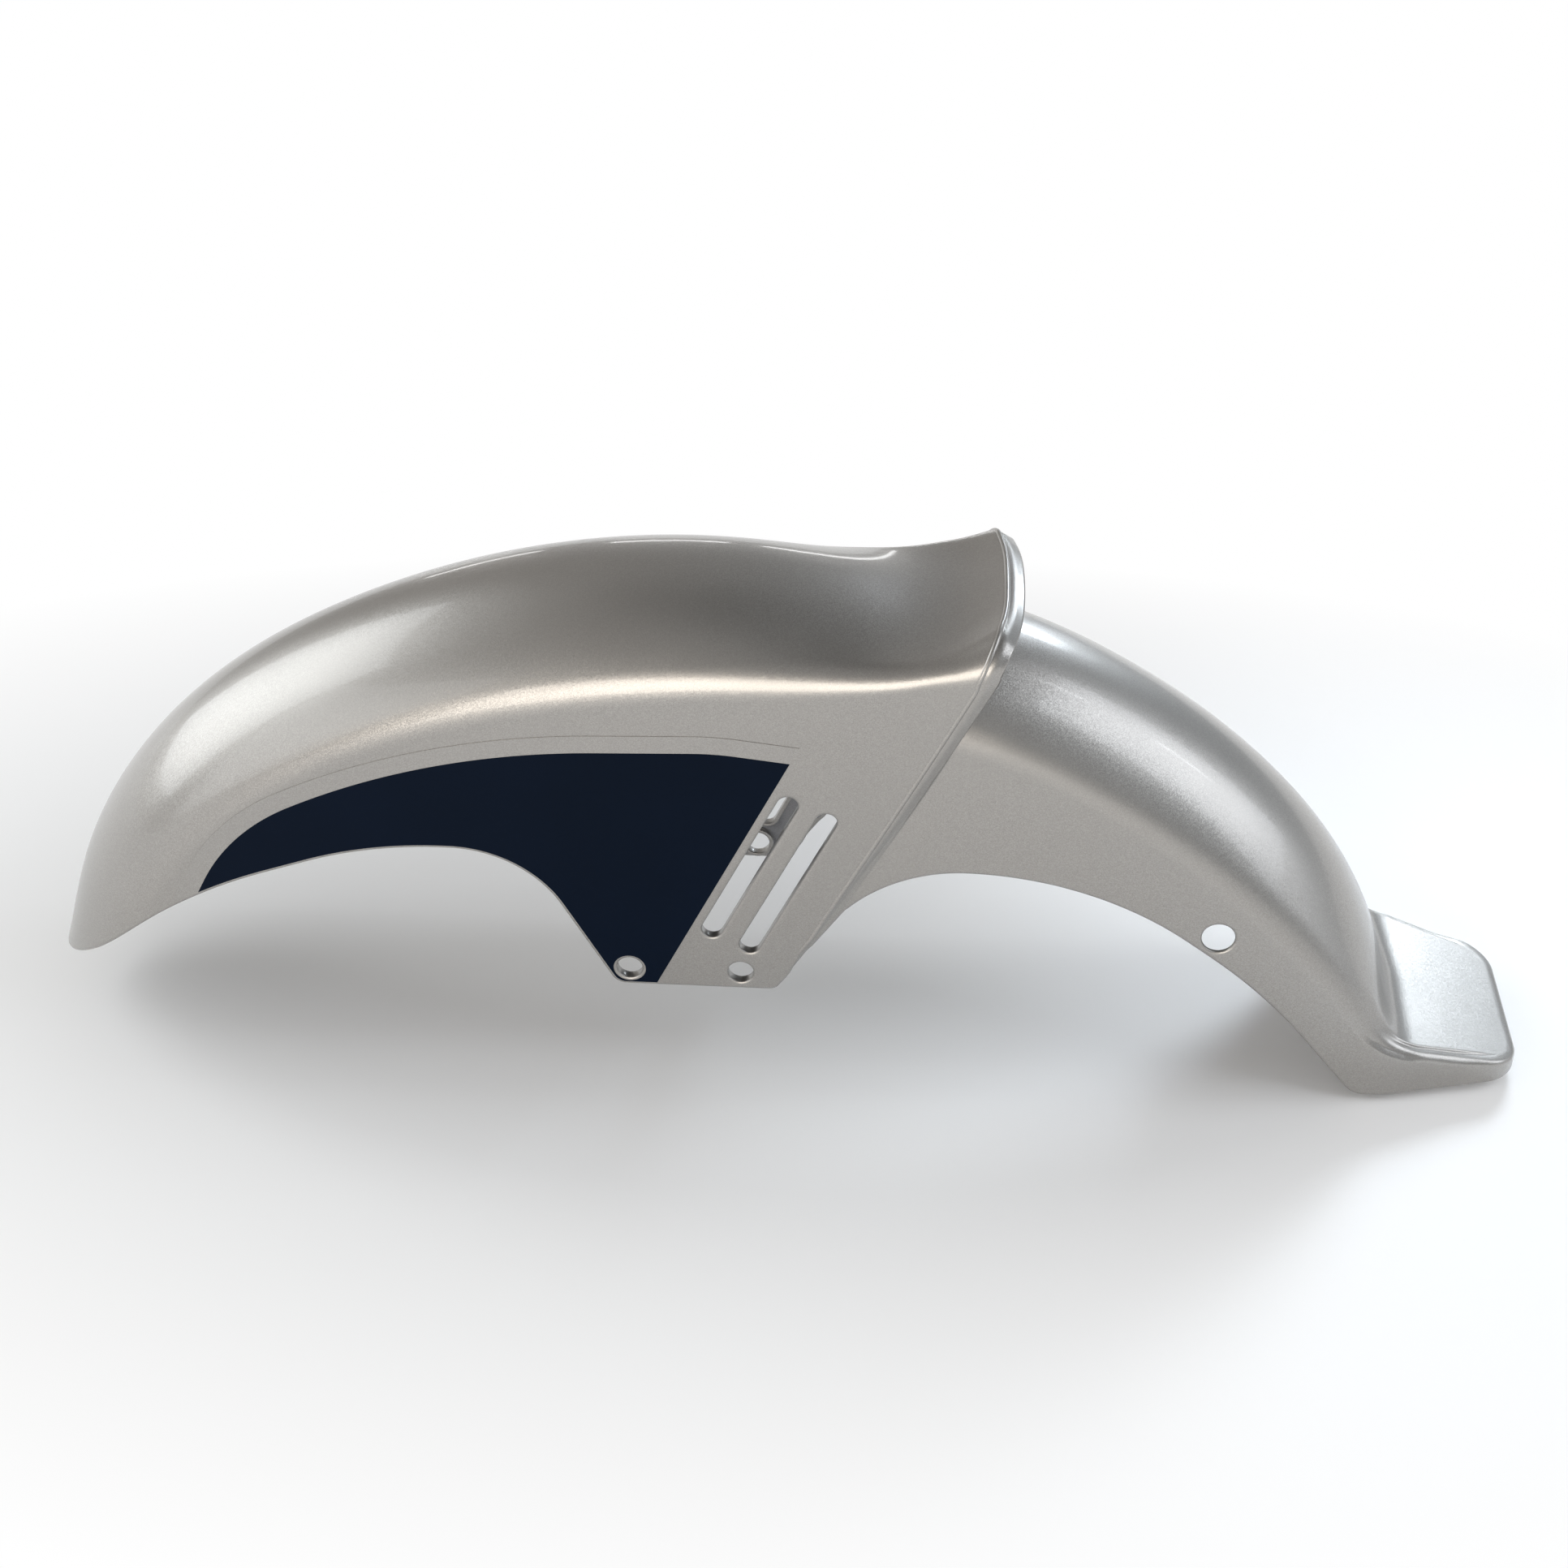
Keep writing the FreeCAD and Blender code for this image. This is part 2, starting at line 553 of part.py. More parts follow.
doc.recompute()
for item in doc.Objects:
    if "Invalid" in item.State or "Error" in item.State:
        raise RuntimeError(f"{item.Name} did not build: {item.State}")
    if item.isDerivedFrom("Part::Feature") and (item.Shape.isNull() or not item.Shape.isValid()):
        raise RuntimeError(f"{item.Name} has no valid shape")
os.makedirs("parts", exist_ok=True)
for item in (mudguard_shell, *decals):
    item.Shape.exportStep(f"parts/{item.Name}.step")
    box = item.Shape.optimalBoundingBox(True, False)
    spans = [round(span, 1) for span in (box.XLength, box.YLength, box.ZLength)]
    print(item.Name, len(item.Shape.Solids), "solid,", round(item.Shape.Volume), "cubic mm, box", spans)
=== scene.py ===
import math

import bmesh
import bpy
import numpy as np
from mathutils import Matrix, Vector
from mathutils.geometry import delaunay_2d_cdt


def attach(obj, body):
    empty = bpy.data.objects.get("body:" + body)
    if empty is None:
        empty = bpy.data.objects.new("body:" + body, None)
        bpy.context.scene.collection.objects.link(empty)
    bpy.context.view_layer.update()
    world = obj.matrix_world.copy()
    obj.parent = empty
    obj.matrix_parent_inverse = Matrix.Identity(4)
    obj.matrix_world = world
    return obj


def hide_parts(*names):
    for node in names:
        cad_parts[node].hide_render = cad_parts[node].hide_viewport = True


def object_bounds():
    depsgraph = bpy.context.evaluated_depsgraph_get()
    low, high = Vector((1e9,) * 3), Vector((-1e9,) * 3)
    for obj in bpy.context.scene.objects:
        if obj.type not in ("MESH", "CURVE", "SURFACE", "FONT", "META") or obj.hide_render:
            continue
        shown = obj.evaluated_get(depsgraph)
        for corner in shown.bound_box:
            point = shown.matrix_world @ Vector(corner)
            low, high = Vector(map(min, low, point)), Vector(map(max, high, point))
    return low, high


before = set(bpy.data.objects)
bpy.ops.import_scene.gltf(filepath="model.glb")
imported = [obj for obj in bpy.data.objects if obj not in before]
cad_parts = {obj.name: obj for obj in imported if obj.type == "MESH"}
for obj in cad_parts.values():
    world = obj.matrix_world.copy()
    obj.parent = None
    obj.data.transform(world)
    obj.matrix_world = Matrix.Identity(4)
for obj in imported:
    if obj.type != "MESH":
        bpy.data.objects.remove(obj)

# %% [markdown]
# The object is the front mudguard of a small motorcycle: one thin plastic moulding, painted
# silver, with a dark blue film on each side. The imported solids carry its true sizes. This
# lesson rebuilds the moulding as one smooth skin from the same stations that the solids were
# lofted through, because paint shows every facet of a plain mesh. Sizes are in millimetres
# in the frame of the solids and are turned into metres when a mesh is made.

MILLIMETRE = 0.001
solid_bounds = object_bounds()
print("solids", solid_bounds)

# %% [markdown]
# A loft runs through a few drawn sections. Between them every size of the section changes
# smoothly, so each size is a cubic curve through its stations. Solving for such a curve takes
# a few lines, and then the shape can be asked for at any angle, as finely as the paint needs.
# Two small helpers go with it: one for a smooth change from one form to another, and one that
# brings directions to a length of one.


# %% A smooth curve through the stations of a loft
def curve_through(stations, values):
    """The natural cubic curve through the values at the stations, as a function."""
    at = np.asarray(stations, float)
    to = np.asarray(values, float)
    gap = np.diff(at)
    rows = np.eye(len(at))
    bend = np.zeros(len(at))
    for i in range(1, len(at) - 1):
        rows[i, i - 1 : i + 2] = gap[i - 1], 2 * (gap[i - 1] + gap[i]), gap[i]
        bend[i] = 6 * ((to[i + 1] - to[i]) / gap[i] - (to[i] - to[i - 1]) / gap[i - 1])
    second = np.linalg.solve(rows, bend)

    def value(where):
        where = np.asarray(where, float)
        k = np.clip(np.searchsorted(at, where) - 1, 0, len(gap) - 1)
        before = where - at[k]
        after = at[k + 1] - where
        cubic = (second[k] * after**3 + second[k + 1] * before**3) / (6 * gap[k])
        straight = (to[k] / gap[k] - second[k] * gap[k] / 6) * after
        return cubic + straight + (to[k + 1] / gap[k] - second[k + 1] * gap[k] / 6) * before

    return value


def eased(value, start, full):
    """A share that goes smoothly from 0 at the start to 1 at the full value."""
    share = np.clip((value - start) / (full - start), 0, 1)
    return share * share * (3 - 2 * share)


def unit(ways):
    """Directions brought to a length of one."""
    return ways / np.linalg.norm(ways, axis=-1, keepdims=True)


# %% [markdown]
# Every section is an arch: a crown arc, two tighter shoulder arcs and two straight walls. Half
# of it is enough, because the mudguard is the same on both sides. The points of a section keep
# their place from station to station, like the threads of a cloth: column 0 runs along the
# crest, the shoulder has its own columns, and a few more follow the wall just below it.

# %% The columns of an arched section
CROWN_STEPS = 26
SHOULDER_STEPS = 12
WALL_STEPS = np.array([1.0, 2.2, 3.6, 5.0])
EDGE_OF_CROWN = CROWN_STEPS
EDGE_OF_SHOULDER = CROWN_STEPS + SHOULDER_STEPS
LAST_COLUMN = EDGE_OF_SHOULDER + len(WALL_STEPS)
COLUMNS = np.arange(LAST_COLUMN + 1)


def shoulder_pivot(crest, crown, shoulder, half, growth):
    """Half width and radius of the point that the shoulder arc turns about."""
    stretch = np.hypot(1.0, growth)
    start_y = half - shoulder / stretch
    start_r = shoulder * growth / stretch - (crest - crown)
    a = growth**2 + 1.0
    b = start_y * growth + start_r
    c = start_y**2 + start_r**2 - (crown - shoulder) ** 2
    reach = (-b + np.sqrt(b * b - a * c)) / a
    return start_y + reach * growth, crest - crown + start_r + reach


def arch(crest, crown, shoulder, half, growth, column):
    """Half width and radius of a column of an arched section; half widths grow along the radius."""
    column = np.asarray(column)
    stretch = np.hypot(1.0, growth)
    across, along = 1.0 / stretch, -growth / stretch
    hub = crest - crown
    pivot_y, pivot_r = shoulder_pivot(crest, crown, shoulder, half, growth)
    wall_turn = np.arctan2(along, across)
    joint_turn = np.arctan2(pivot_r - hub, pivot_y)
    crown_turn = math.pi / 2 + (joint_turn - math.pi / 2) * column / CROWN_STEPS
    turn = joint_turn + (wall_turn - joint_turn) * (column - EDGE_OF_CROWN) / SHOULDER_STEPS
    down = WALL_STEPS[np.clip(column - EDGE_OF_SHOULDER - 1, 0, len(WALL_STEPS) - 1)] / stretch
    kinds = [column <= EDGE_OF_CROWN, column <= EDGE_OF_SHOULDER]
    wall_y = pivot_y + shoulder * across - growth * down
    wall_r = pivot_r + shoulder * along - down
    y = np.select(kinds, [crown * np.cos(crown_turn), pivot_y + shoulder * np.cos(turn)], wall_y)
    r = np.select(kinds, [hub + crown * np.sin(crown_turn), pivot_r + shoulder * np.sin(turn)], wall_r)
    return y, r


print(len(COLUMNS), "columns from the crest to the wall")

# %% [markdown]
# The front half fans out from a point below the crown, from the nose to the flared lip. Its
# walls are flat and lean out a little. The rear half fans out from a point of its own, and its
# crown flattens towards the tail, where the flap joins it in a straight line. Flat sections
# have a very large crown radius, so the curves run through one over that radius instead. Where
# the loft bends fast, a few more stations were measured on the solids, between the drawn ones.
# The lip is swept forward a little at its two corners, as the photograph shows.

# %% The two halves as surfaces
FRONT_CENTRE = np.array([-24.0, -161.5])
FRONT_HALF, FRONT_LEAN = 67.0, 0.035
FRONT = [
    (-76.0, 384.0, 78.0, 34.0),
    (-70.0, 382.0, 78.0, 34.0),
    (-64.0, 385.7, 78.0, 34.0),
    (-60.0, 389.0, 78.0, 34.0),
    (-52.0, 392.9, 78.4, 32.3),
    (-44.0, 394.0, 80.0, 31.0),
    (-35.0, 392.7, 81.5, 30.4),
    (-26.0, 391.0, 82.0, 30.0),
    (-8.0, 393.0, 82.0, 30.0),
    (0.0, 395.68, 84.5, 29.2),
    (8.0, 397.98, 94.0, 26.0),
    (13.0, 398.7, 112.3, 22.3),
    (18.0, 400.5, 165.0, 18.0),
    (20.5, 402.8, 234.0, 15.9),
    (22.5, 406.8, 350.0, 14.7),
    (24.0, 412.0, 507.0, 14.3),
    (25.5, 420.5, 700.0, 17.5),
    (27.0, 435.0, 650.0, 25.0),
]
REAR_CENTRE = np.array([56.0, -173.5])
REAR = [
    (1.0, 389.0, 65.5, 72.0, 32.0),
    (20.0, 391.0, 65.5, 72.0, 32.0),
    (29.0, 389.4, 65.9, 72.3, 31.5),
    (38.0, 389.0, 66.5, 74.0, 32.0),
    (46.0, 389.3, 67.3, 78.3, 31.1),
    (54.0, 389.0, 68.5, 92.0, 28.0),
    (60.0, 387.1, 69.4, 125.2, 23.2),
    (66.0, 383.0, 70.5, 250.0, 18.0),
    (78.0, 366.0, 73.0, 700.0, 10.0),
]
tilts, crests, crowns, shoulders = np.array(FRONT).T
front_crest = curve_through(tilts, crests)
front_flatness = curve_through(tilts, 1.0 / crowns)
front_shoulder = curve_through(tilts, shoulders)
tilts, crests, halves, crowns, shoulders = np.array(REAR).T
rear_crest = curve_through(tilts, crests)
rear_half = curve_through(tilts, halves)
rear_flatness = curve_through(tilts, 1.0 / crowns)
rear_shoulder = curve_through(tilts, shoulders)


def on_fan(centre, tilt, y, r):
    """Points of the left-hand side at a tilt in degrees from upright, a half width and a radius."""
    turn = np.radians(tilt)
    x = centre[0] + r * np.sin(turn)
    z = centre[1] + r * np.cos(turn)
    return np.stack(np.broadcast_arrays(x, -y, z), -1)


LIP_TILT = FRONT[-1][0]
LIP_SWEEP, SWEEP_WIDTH = 0.55, 11.0
SWEEP_FROM, SWEEP_FULL = 10.0, 26.0
lip_sweep = -LIP_SWEEP * np.exp(-(((COLUMNS - EDGE_OF_CROWN - SHOULDER_STEPS / 2) / SWEEP_WIDTH) ** 2))


def front_point(tilt, column, skin=0.0):
    """A point of the front half, raised by a skin over the moulding."""
    half = FRONT_HALF + FRONT_LEAN * FRONT_CENTRE[1] + skin
    growth = FRONT_LEAN * np.cos(np.radians(tilt))
    crown = 1.0 / front_flatness(tilt) + skin
    y, r = arch(front_crest(tilt) + skin, crown, front_shoulder(tilt) + skin, half, growth, column)
    swept = tilt + eased(tilt, SWEEP_FROM, SWEEP_FULL) * lip_sweep[column]
    return on_fan(FRONT_CENTRE, swept, y, r)


def rear_point(tilt, column):
    """A point of the rear half."""
    crown = 1.0 / rear_flatness(tilt)
    y, r = arch(rear_crest(tilt), crown, rear_shoulder(tilt), rear_half(tilt), 0.0, column)
    return on_fan(REAR_CENTRE, tilt, y, r)


def polar(points, centre):
    """Tilt in degrees and radius of points about a centre, in side view."""
    x, z = points[..., 0] - centre[0], points[..., -1] - centre[1]
    return np.degrees(np.arctan2(x, z)), np.hypot(x, z)


def solve(measure, low, high, rounds=50):
    """Halves the span from low to high until measure changes sign in its middle."""
    low, high = np.broadcast_arrays(np.array(low, float), np.array(high, float))
    low, high = low.copy(), high.copy()
    for _ in range(rounds):
        middle = (low + high) / 2
        under = measure(middle) < 0
        low, high = np.where(under, middle, low), np.where(under, high, middle)
    return (low + high) / 2


tail_crest = rear_point(REAR[-2][0], 0)
print("crest at the lip", front_point(LIP_TILT, 0).round(1), "and near the tail", tail_crest.round(1))

# %% [markdown]
# The lower edge is drawn in side view as straight lines with rounded corners: the nose, the
# arch, the tab for the fork leg, the rear arch and the tail. The skin stops a little short of
# that line, because a rolled rim comes on afterwards and reaches out to it.

# %% The lower edge in side view
WALL = 3.0
FLAT_RIM = 0.35
RIM_REACH = FLAT_RIM + WALL / 2
CLEARANCE = 0.01
LOWER_EDGE = [
    (-460.0, -99.0, 0.0),
    (-286.2, 41.2, 316.0),
    (-174.6, 81.5, 228.0),
    (-89.0, 81.5, 69.0),
    (-40.0, -12.0, 10.0),
    (52.3, -12.0, 8.0),
    (108.5, 74.5, 92.0),
    (227.5, 74.5, 215.0),
    (329.2, 1.3, 317.0),
    (386.0, -67.0, 12.0),
    (520.0, -64.0, 0.0),
]


def rounded_line(corners, step=3.0, turn_step=6.0):
    """A line through corners given as x, z and rounding; its points are a step or a turn apart."""
    corners = np.asarray(corners, float)
    places = corners[:, :2]
    stops = [places[0]]
    for before, here, after, radius in zip(places, places[1:], places[2:], corners[1:, 2]):
        back = (before - here) / np.linalg.norm(before - here)
        ahead = (after - here) / np.linalg.norm(after - here)
        corner = math.acos(np.clip(back @ ahead, -1, 1))
        run = radius / math.tan(corner / 2)
        middle = (back + ahead) / np.linalg.norm(back + ahead)
        hub = here + middle * radius / math.sin(corner / 2)
        first, last = here + back * run - hub, here + ahead * run - hub
        bend = math.pi - corner
        count = max(2, int(radius * bend / step), int(math.degrees(bend) / turn_step))
        sweep = math.atan2(first[0] * last[1] - first[1] * last[0], first @ last)
        for turn in np.linspace(0, sweep, count + 1):
            cosine, sine = math.cos(turn), math.sin(turn)
            stops.append(hub + [first[0] * cosine - first[1] * sine, first[0] * sine + first[1] * cosine])
    stops.append(places[-1])
    line = [stops[0]]
    for here in stops[1:]:
        count = max(1, int(np.linalg.norm(here - line[-1]) / (2 * step)))
        line.extend(np.linspace(line[-1], here, count + 1)[1:])
    return np.array(line)


def shifted(line, distance):
    """The line moved to its left-hand side by a distance."""
    way = unit(np.gradient(line, axis=0))
    return line + distance * np.stack([-way[:, 1], way[:, 0]], 1)


lower_edge = shifted(rounded_line(LOWER_EDGE), RIM_REACH + CLEARANCE)
edge_tilt, edge_radius = polar(lower_edge, FRONT_CENTRE)
print("lower edge of", len(lower_edge), "points")

# %% [markdown]
# The skin is put together from patches that share their border points: grids where the form
# is an arch, and flat-lying triangles where it is a wall. A small collector keeps the points
# and faces until all patches are there. Then doubles are merged and the other side is mirrored.

# %% A collector for patches
skin_points, skin_faces = [], []


def keep_points(points):
    """Adds points to the skin and gives back the number of the first one."""
    first = len(skin_points)
    skin_points.extend(np.asarray(points).reshape(-1, 3))
    return first


def keep_grid(grid):
    """Adds a grid of points, rows by columns, as four-sided faces."""
    rows, columns = grid.shape[:2]
    first = keep_points(grid)
    for i in range(rows - 1):
        for j in range(columns - 1):
            k = first + i * columns + j
            skin_faces.append((k, k + 1, k + columns + 1, k + columns))


# %% [markdown]
# The crown of the front half is one grid. Its first row lies on the slanting edge of the nose,
# found for each column by halving a span of tilts. Its last row stops just before the lip.

# %% The crown of the front half
NOSE_ROWS = 150
NOSE_BEFORE = -150.0
NOSE_TILTS = (-84.0, -35.0)
LIP_SUPPORT = 0.6
nose_edge = lower_edge[lower_edge[:, 0] < NOSE_BEFORE]


def above_nose(tilt):
    """How far the columns lie above the slanting edge of the nose at their tilts."""
    points = front_point(tilt, COLUMNS)
    return points[:, 2] - np.interp(points[:, 0], *nose_edge.T)


nose_tilt = solve(above_nose, *NOSE_TILTS)
crown_end = LIP_TILT - LIP_SUPPORT
share = np.linspace(0, 1, NOSE_ROWS + 1)[:, None]
front_grid = front_point(nose_tilt + share * (crown_end - nose_tilt), COLUMNS[None, :])
keep_grid(front_grid)
print("nose tip", front_grid[0, 0].round(1), "grid", front_grid.shape)

# %% [markdown]
# The tail of the mudguard kicks out into a flat flap. Its outline in plan and the slope of its
# plate are straight lines between two points each. The rear wall runs into the side of the flap
# over a short stretch, so all of this is needed before the rear half can be made.

# %% The flap's plan and plate
FLAP_START, FLAP_END = 423.0, 484.0
FLAP_KNEE, FLAP_KNEE_HALF, FLAP_END_HALF = 398.0, 74.0, 55.0
FLAP_CORNER = 24.0
PLATE_ROOT = np.array([380.0, -26.0])
PLATE_END = np.array([FLAP_END, -54.5])
plate_run, plate_rise = PLATE_END - PLATE_ROOT


def flap_half(x):
    """Half width of the flap, before its corners are rounded."""
    return FLAP_KNEE_HALF + (x - FLAP_KNEE) * (FLAP_END_HALF - FLAP_KNEE_HALF) / (FLAP_END - FLAP_KNEE)


def plate_z(x):
    """Height of the flat plate of the flap."""
    return PLATE_ROOT[1] + (x - PLATE_ROOT[0]) * plate_rise / plate_run


def rear_wall_y(x, z):
    """Half width of the rear wall, which runs into the side of the flap."""
    tilt = polar(np.stack([x, z], -1), REAR_CENTRE)[0]
    ease = eased(x, PLATE_ROOT[0], FLAP_START)
    return (1 - ease) * rear_half(tilt) + ease * flap_half(x)


print("flap from", FLAP_START, "to", FLAP_END, "with a half width of", round(flap_half(FLAP_START), 1))

# %% [markdown]
# Behind the lip the moulding steps down to the narrower rear half: a fine groove, a sloped
# band and a short drop. All three follow the lip from one tab over the crown to the other, so
# they are one strip of rows, close together where the form bends. Low on the wall the band meets
# the rear wall and fades out.

# %% The step from the lip to the rear half
BAND_TILT, BAND_INSET = 28.4, 4.5
BAND_CREST, BAND_CROWN, BAND_SHOULDER = 436.0, 300.0, 14.0
BAND_LEAST = 0.15
GROOVE, GROOVE_STARTS, GROOVE_FADES = 0.7, 0.3, 6
WALL_POINTS = 44
SWEEP_FADES = 3
BEHIND_TAB, BEFORE_TAIL, ARCH_REACH = 15.0, 60.0, 260.0
wall_share = np.linspace(0, 1, WALL_POINTS, endpoint=False)
rear_edge = (edge_tilt > BEHIND_TAB) & (edge_tilt < BEFORE_TAIL) & (edge_radius < ARCH_REACH)


def edge_at(tilt):
    """Radius of the lower edge behind the tab, at a tilt."""
    return np.interp(tilt, edge_tilt[rear_edge], edge_radius[rear_edge])


def front_wall(tilt, radius):
    """Points of the flat front wall."""
    z = FRONT_CENTRE[1] + radius * np.cos(np.radians(tilt))
    return on_fan(FRONT_CENTRE, tilt, FRONT_HALF + FRONT_LEAN * z, radius)


def with_wall(tilt, top, wall):
    """A row of the step: wall points from the lower edge up, then the columns from wall to crest."""
    top_radius = polar(top[-1], FRONT_CENTRE)[1]
    turned = tilt + lip_sweep[-1] * wall_share**SWEEP_FADES
    low = edge_at(tilt)
    return np.concatenate([wall(turned, low + wall_share * (top_radius - low)), top[::-1]])


def lip_row(tilt):
    """A row on the front half, at a tilt near the lip."""
    return with_wall(tilt, front_point(tilt, COLUMNS), front_wall)


def band_row(share_of_band, depth):
    """A row on the sloped band behind the lip, sunk by a depth."""
    half = FRONT_HALF + FRONT_LEAN * FRONT_CENTRE[1] - BAND_INSET - depth
    growth = FRONT_LEAN * np.cos(np.radians(BAND_TILT))
    y, r = arch(BAND_CREST - depth, BAND_CROWN - depth, BAND_SHOULDER - depth, half, growth, COLUMNS)
    sunk_lip = front_point(LIP_TILT, COLUMNS, -depth)
    near = with_wall(LIP_TILT, sunk_lip, front_wall)
    far = with_wall(BAND_TILT, on_fan(FRONT_CENTRE, BAND_TILT + lip_sweep, y, r), front_wall)
    sunk = depth * np.clip(np.arange(WALL_POINTS) / GROOVE_FADES - GROOVE_STARTS, 0, 1)
    near[:WALL_POINTS, 1] += sunk
    far[:WALL_POINTS, 1] += BAND_INSET + sunk
    meets = np.clip((-near[:, 1] - REAR[0][2]) / BAND_INSET, BAND_LEAST, 1.0)
    meets[WALL_POINTS:] = 1.0
    return near + (share_of_band * meets)[:, None] * (far - near)


# %% The rows of the step
LIP_ROWS = (LIP_SUPPORT, 0.25, 0.08)
BAND_ROWS = [(0.04, 0.0), (0.12, GROOVE), (0.2, GROOVE), (0.27, 0.0), (0.6, 0.0), (0.92, 0.0), (1.0, 0.0)]
DROP_ROWS = (0.12, 0.5, 0.9)
SEAT_ROWS = (0.3, 0.45, 0.75, 1.1)
REAR_TILTS = (1.0, 50.0)


def rear_wall(tilt, radius):
    """Points of the rear wall at a tilt about the centre of the front half."""
    points = on_fan(FRONT_CENTRE, tilt, 0.0, radius)
    points[:, 1] = -rear_wall_y(points[:, 0], points[:, 2])
    return points


def rear_tilts(behind):
    """Tilts about the rear centre of the columns that lie a little behind the band."""
    wanted = BAND_TILT + behind + lip_sweep

    def ahead(tilt):
        return polar(rear_point(tilt, COLUMNS), FRONT_CENTRE)[0] - wanted

    return solve(ahead, *REAR_TILTS)


def rear_row(behind):
    """A row on the rear half, a little behind the band."""
    return with_wall(BAND_TILT + behind, rear_point(rear_tilts(behind), COLUMNS), rear_wall)


lip_rows = [lip_row(LIP_TILT - before) for before in LIP_ROWS]
band_rows = [band_row(*row) for row in BAND_ROWS]
seat_rows = [rear_row(behind) for behind in SEAT_ROWS]
drop = seat_rows[0] - band_rows[-1]
drop_rows = [band_rows[-1] + part * drop for part in DROP_ROWS]
step = np.array(lip_rows + band_rows + drop_rows + seat_rows)
keep_grid(step)
print("step of", step.shape[0], "rows along", step.shape[1], "points")

# %% [markdown]
# The rear half is the next grid. It starts where the step ends and runs to the tail, where its
# crown has become almost flat and turns outwards into the flap.

# %% The crown of the rear half
REAR_ROWS = 96
CROWN_LEAVES = 62.8
rear_start = rear_tilts(SEAT_ROWS[-1])
share = np.linspace(0, 1, REAR_ROWS + 1)[:, None]
rear_grid = rear_point(rear_start + share * (CROWN_LEAVES - rear_start), COLUMNS[None, :])
keep_grid(rear_grid)
print("rear grid", rear_grid.shape, "leaves the crown at", rear_grid[-1, 0].round(1))

# %% [markdown]
# The plate of the flap ends in a fine step along each side. Beyond it a ledge rounds over into
# the flange, and towards the end of the flap the step fades and the rounding gets tighter.
# That profile follows the outline in plan, so it is a strip of rows along that line.

# %% The sides and the end of the flap
STEP_LIFT = np.array([0.0, 0.0, -0.06, -0.36, -0.74, -0.95, -1.0])
STEP_INSET = np.array([9.0, 8.0, 7.3, 6.9, 6.6, 6.2, 5.4])
LEDGE_DROP = 1.4
SIDE_ROUNDING, END_ROUNDING = 4.6, 2.2
STEP_FULL, STEP_GONE = 448.0, 474.0
FLANGE_STEPS = 3
PLAN_STEP = 2.0
TAIL_BEHIND = 400.0
plan_corners = [
    (FLAP_START, -flap_half(FLAP_START), 0),
    (FLAP_END, -FLAP_END_HALF, FLAP_CORNER),
    (FLAP_END, 0, 0),
]
plan = rounded_line(plan_corners, PLAN_STEP)
tail_edge = lower_edge[lower_edge[:, 0] > TAIL_BEHIND]
fade = eased(plan[:, 0], STEP_GONE, STEP_FULL)
rounding = END_ROUNDING + fade * (SIDE_ROUNDING - END_ROUNDING)
over = np.radians(np.linspace(0, 90, SHOULDER_STEPS - len(STEP_LIFT) + 2))[1:]
profile = [
    (np.full_like(fade, inset), LEDGE_DROP * lift * fade) for inset, lift in zip(STEP_INSET, STEP_LIFT)
]
profile += [
    (rounding * (1 - math.sin(turn)), -LEDGE_DROP * fade - rounding * (1 - math.cos(turn))) for turn in over
]
profile += [(np.zeros_like(fade), -LEDGE_DROP * fade - rounding - down) for down in WALL_STEPS]
flap_columns = []
for inset, lift in profile:
    x, y = shifted(plan, inset[:, None]).T
    flap_columns.append(np.stack([x, y, plate_z(x) + lift], 1))
flange_foot = np.interp(plan[:, 0], *tail_edge.T)
for part in np.arange(1, FLANGE_STEPS + 1) / FLANGE_STEPS:
    foot = flap_columns[LAST_COLUMN - EDGE_OF_CROWN].copy()
    foot[:, 2] += part * (flange_foot - foot[:, 2])
    flap_columns.append(foot)
rim = np.stack(flap_columns, 1)
rim[-1, :, 1] = 0.0
keep_grid(rim)
print("sides and end of the flap", rim.shape)

# %% [markdown]
# Crown and flap meet in a soft hollow. It is a blend: each column leaves the crown and reaches
# the plate in the direction that both have there, and it bends only gradually at both ends, so
# that no line shows where the blend begins. Four weights along the way make it, one for each
# end point and one for each direction.

# %% The hollow between crown and flap
HOLLOW_ROWS = 20
LANDING_BOW = 0.6
PULL = 0.95
LITTLE_TILT = 0.2
landing = np.empty((len(COLUMNS), 3))
landing[EDGE_OF_CROWN:] = rim[0, : LAST_COLUMN - EDGE_OF_CROWN + 1]
inward = np.linspace(0, 1, EDGE_OF_CROWN, endpoint=False)[:, None]
crest_landing = np.array([FLAP_START, 0.0, plate_z(FLAP_START)])
landing[:EDGE_OF_CROWN] = crest_landing + inward * (rim[0, 0] - crest_landing)
landing[:EDGE_OF_CROWN, 0] -= LANDING_BOW * 4 * (inward * (1 - inward))[:, 0]
leave = rear_point(CROWN_LEAVES, COLUMNS)
leave_way = unit(leave - rear_point(CROWN_LEAVES - LITTLE_TILT, COLUMNS))
land_way = unit(np.array([plate_run, 0.0, plate_rise]))
span = PULL * np.linalg.norm(landing - leave, axis=1)[:, None]
t = np.linspace(0, 1, HOLLOW_ROWS + 1)[:, None, None]
hollow = (
    (1 - 10 * t**3 + 15 * t**4 - 6 * t**5) * leave
    + (t - 6 * t**3 + 8 * t**4 - 3 * t**5) * span * leave_way
    + (10 * t**3 - 15 * t**4 + 6 * t**5) * landing
    + (7 * t**4 - 4 * t**3 - 3 * t**5) * span * land_way
)
below = slice(EDGE_OF_SHOULDER, None)
hollow[1:-1, below, 1] = -rear_wall_y(hollow[1:-1, below, 0], hollow[1:-1, below, 2])
keep_grid(hollow)
print("hollow", hollow.shape)

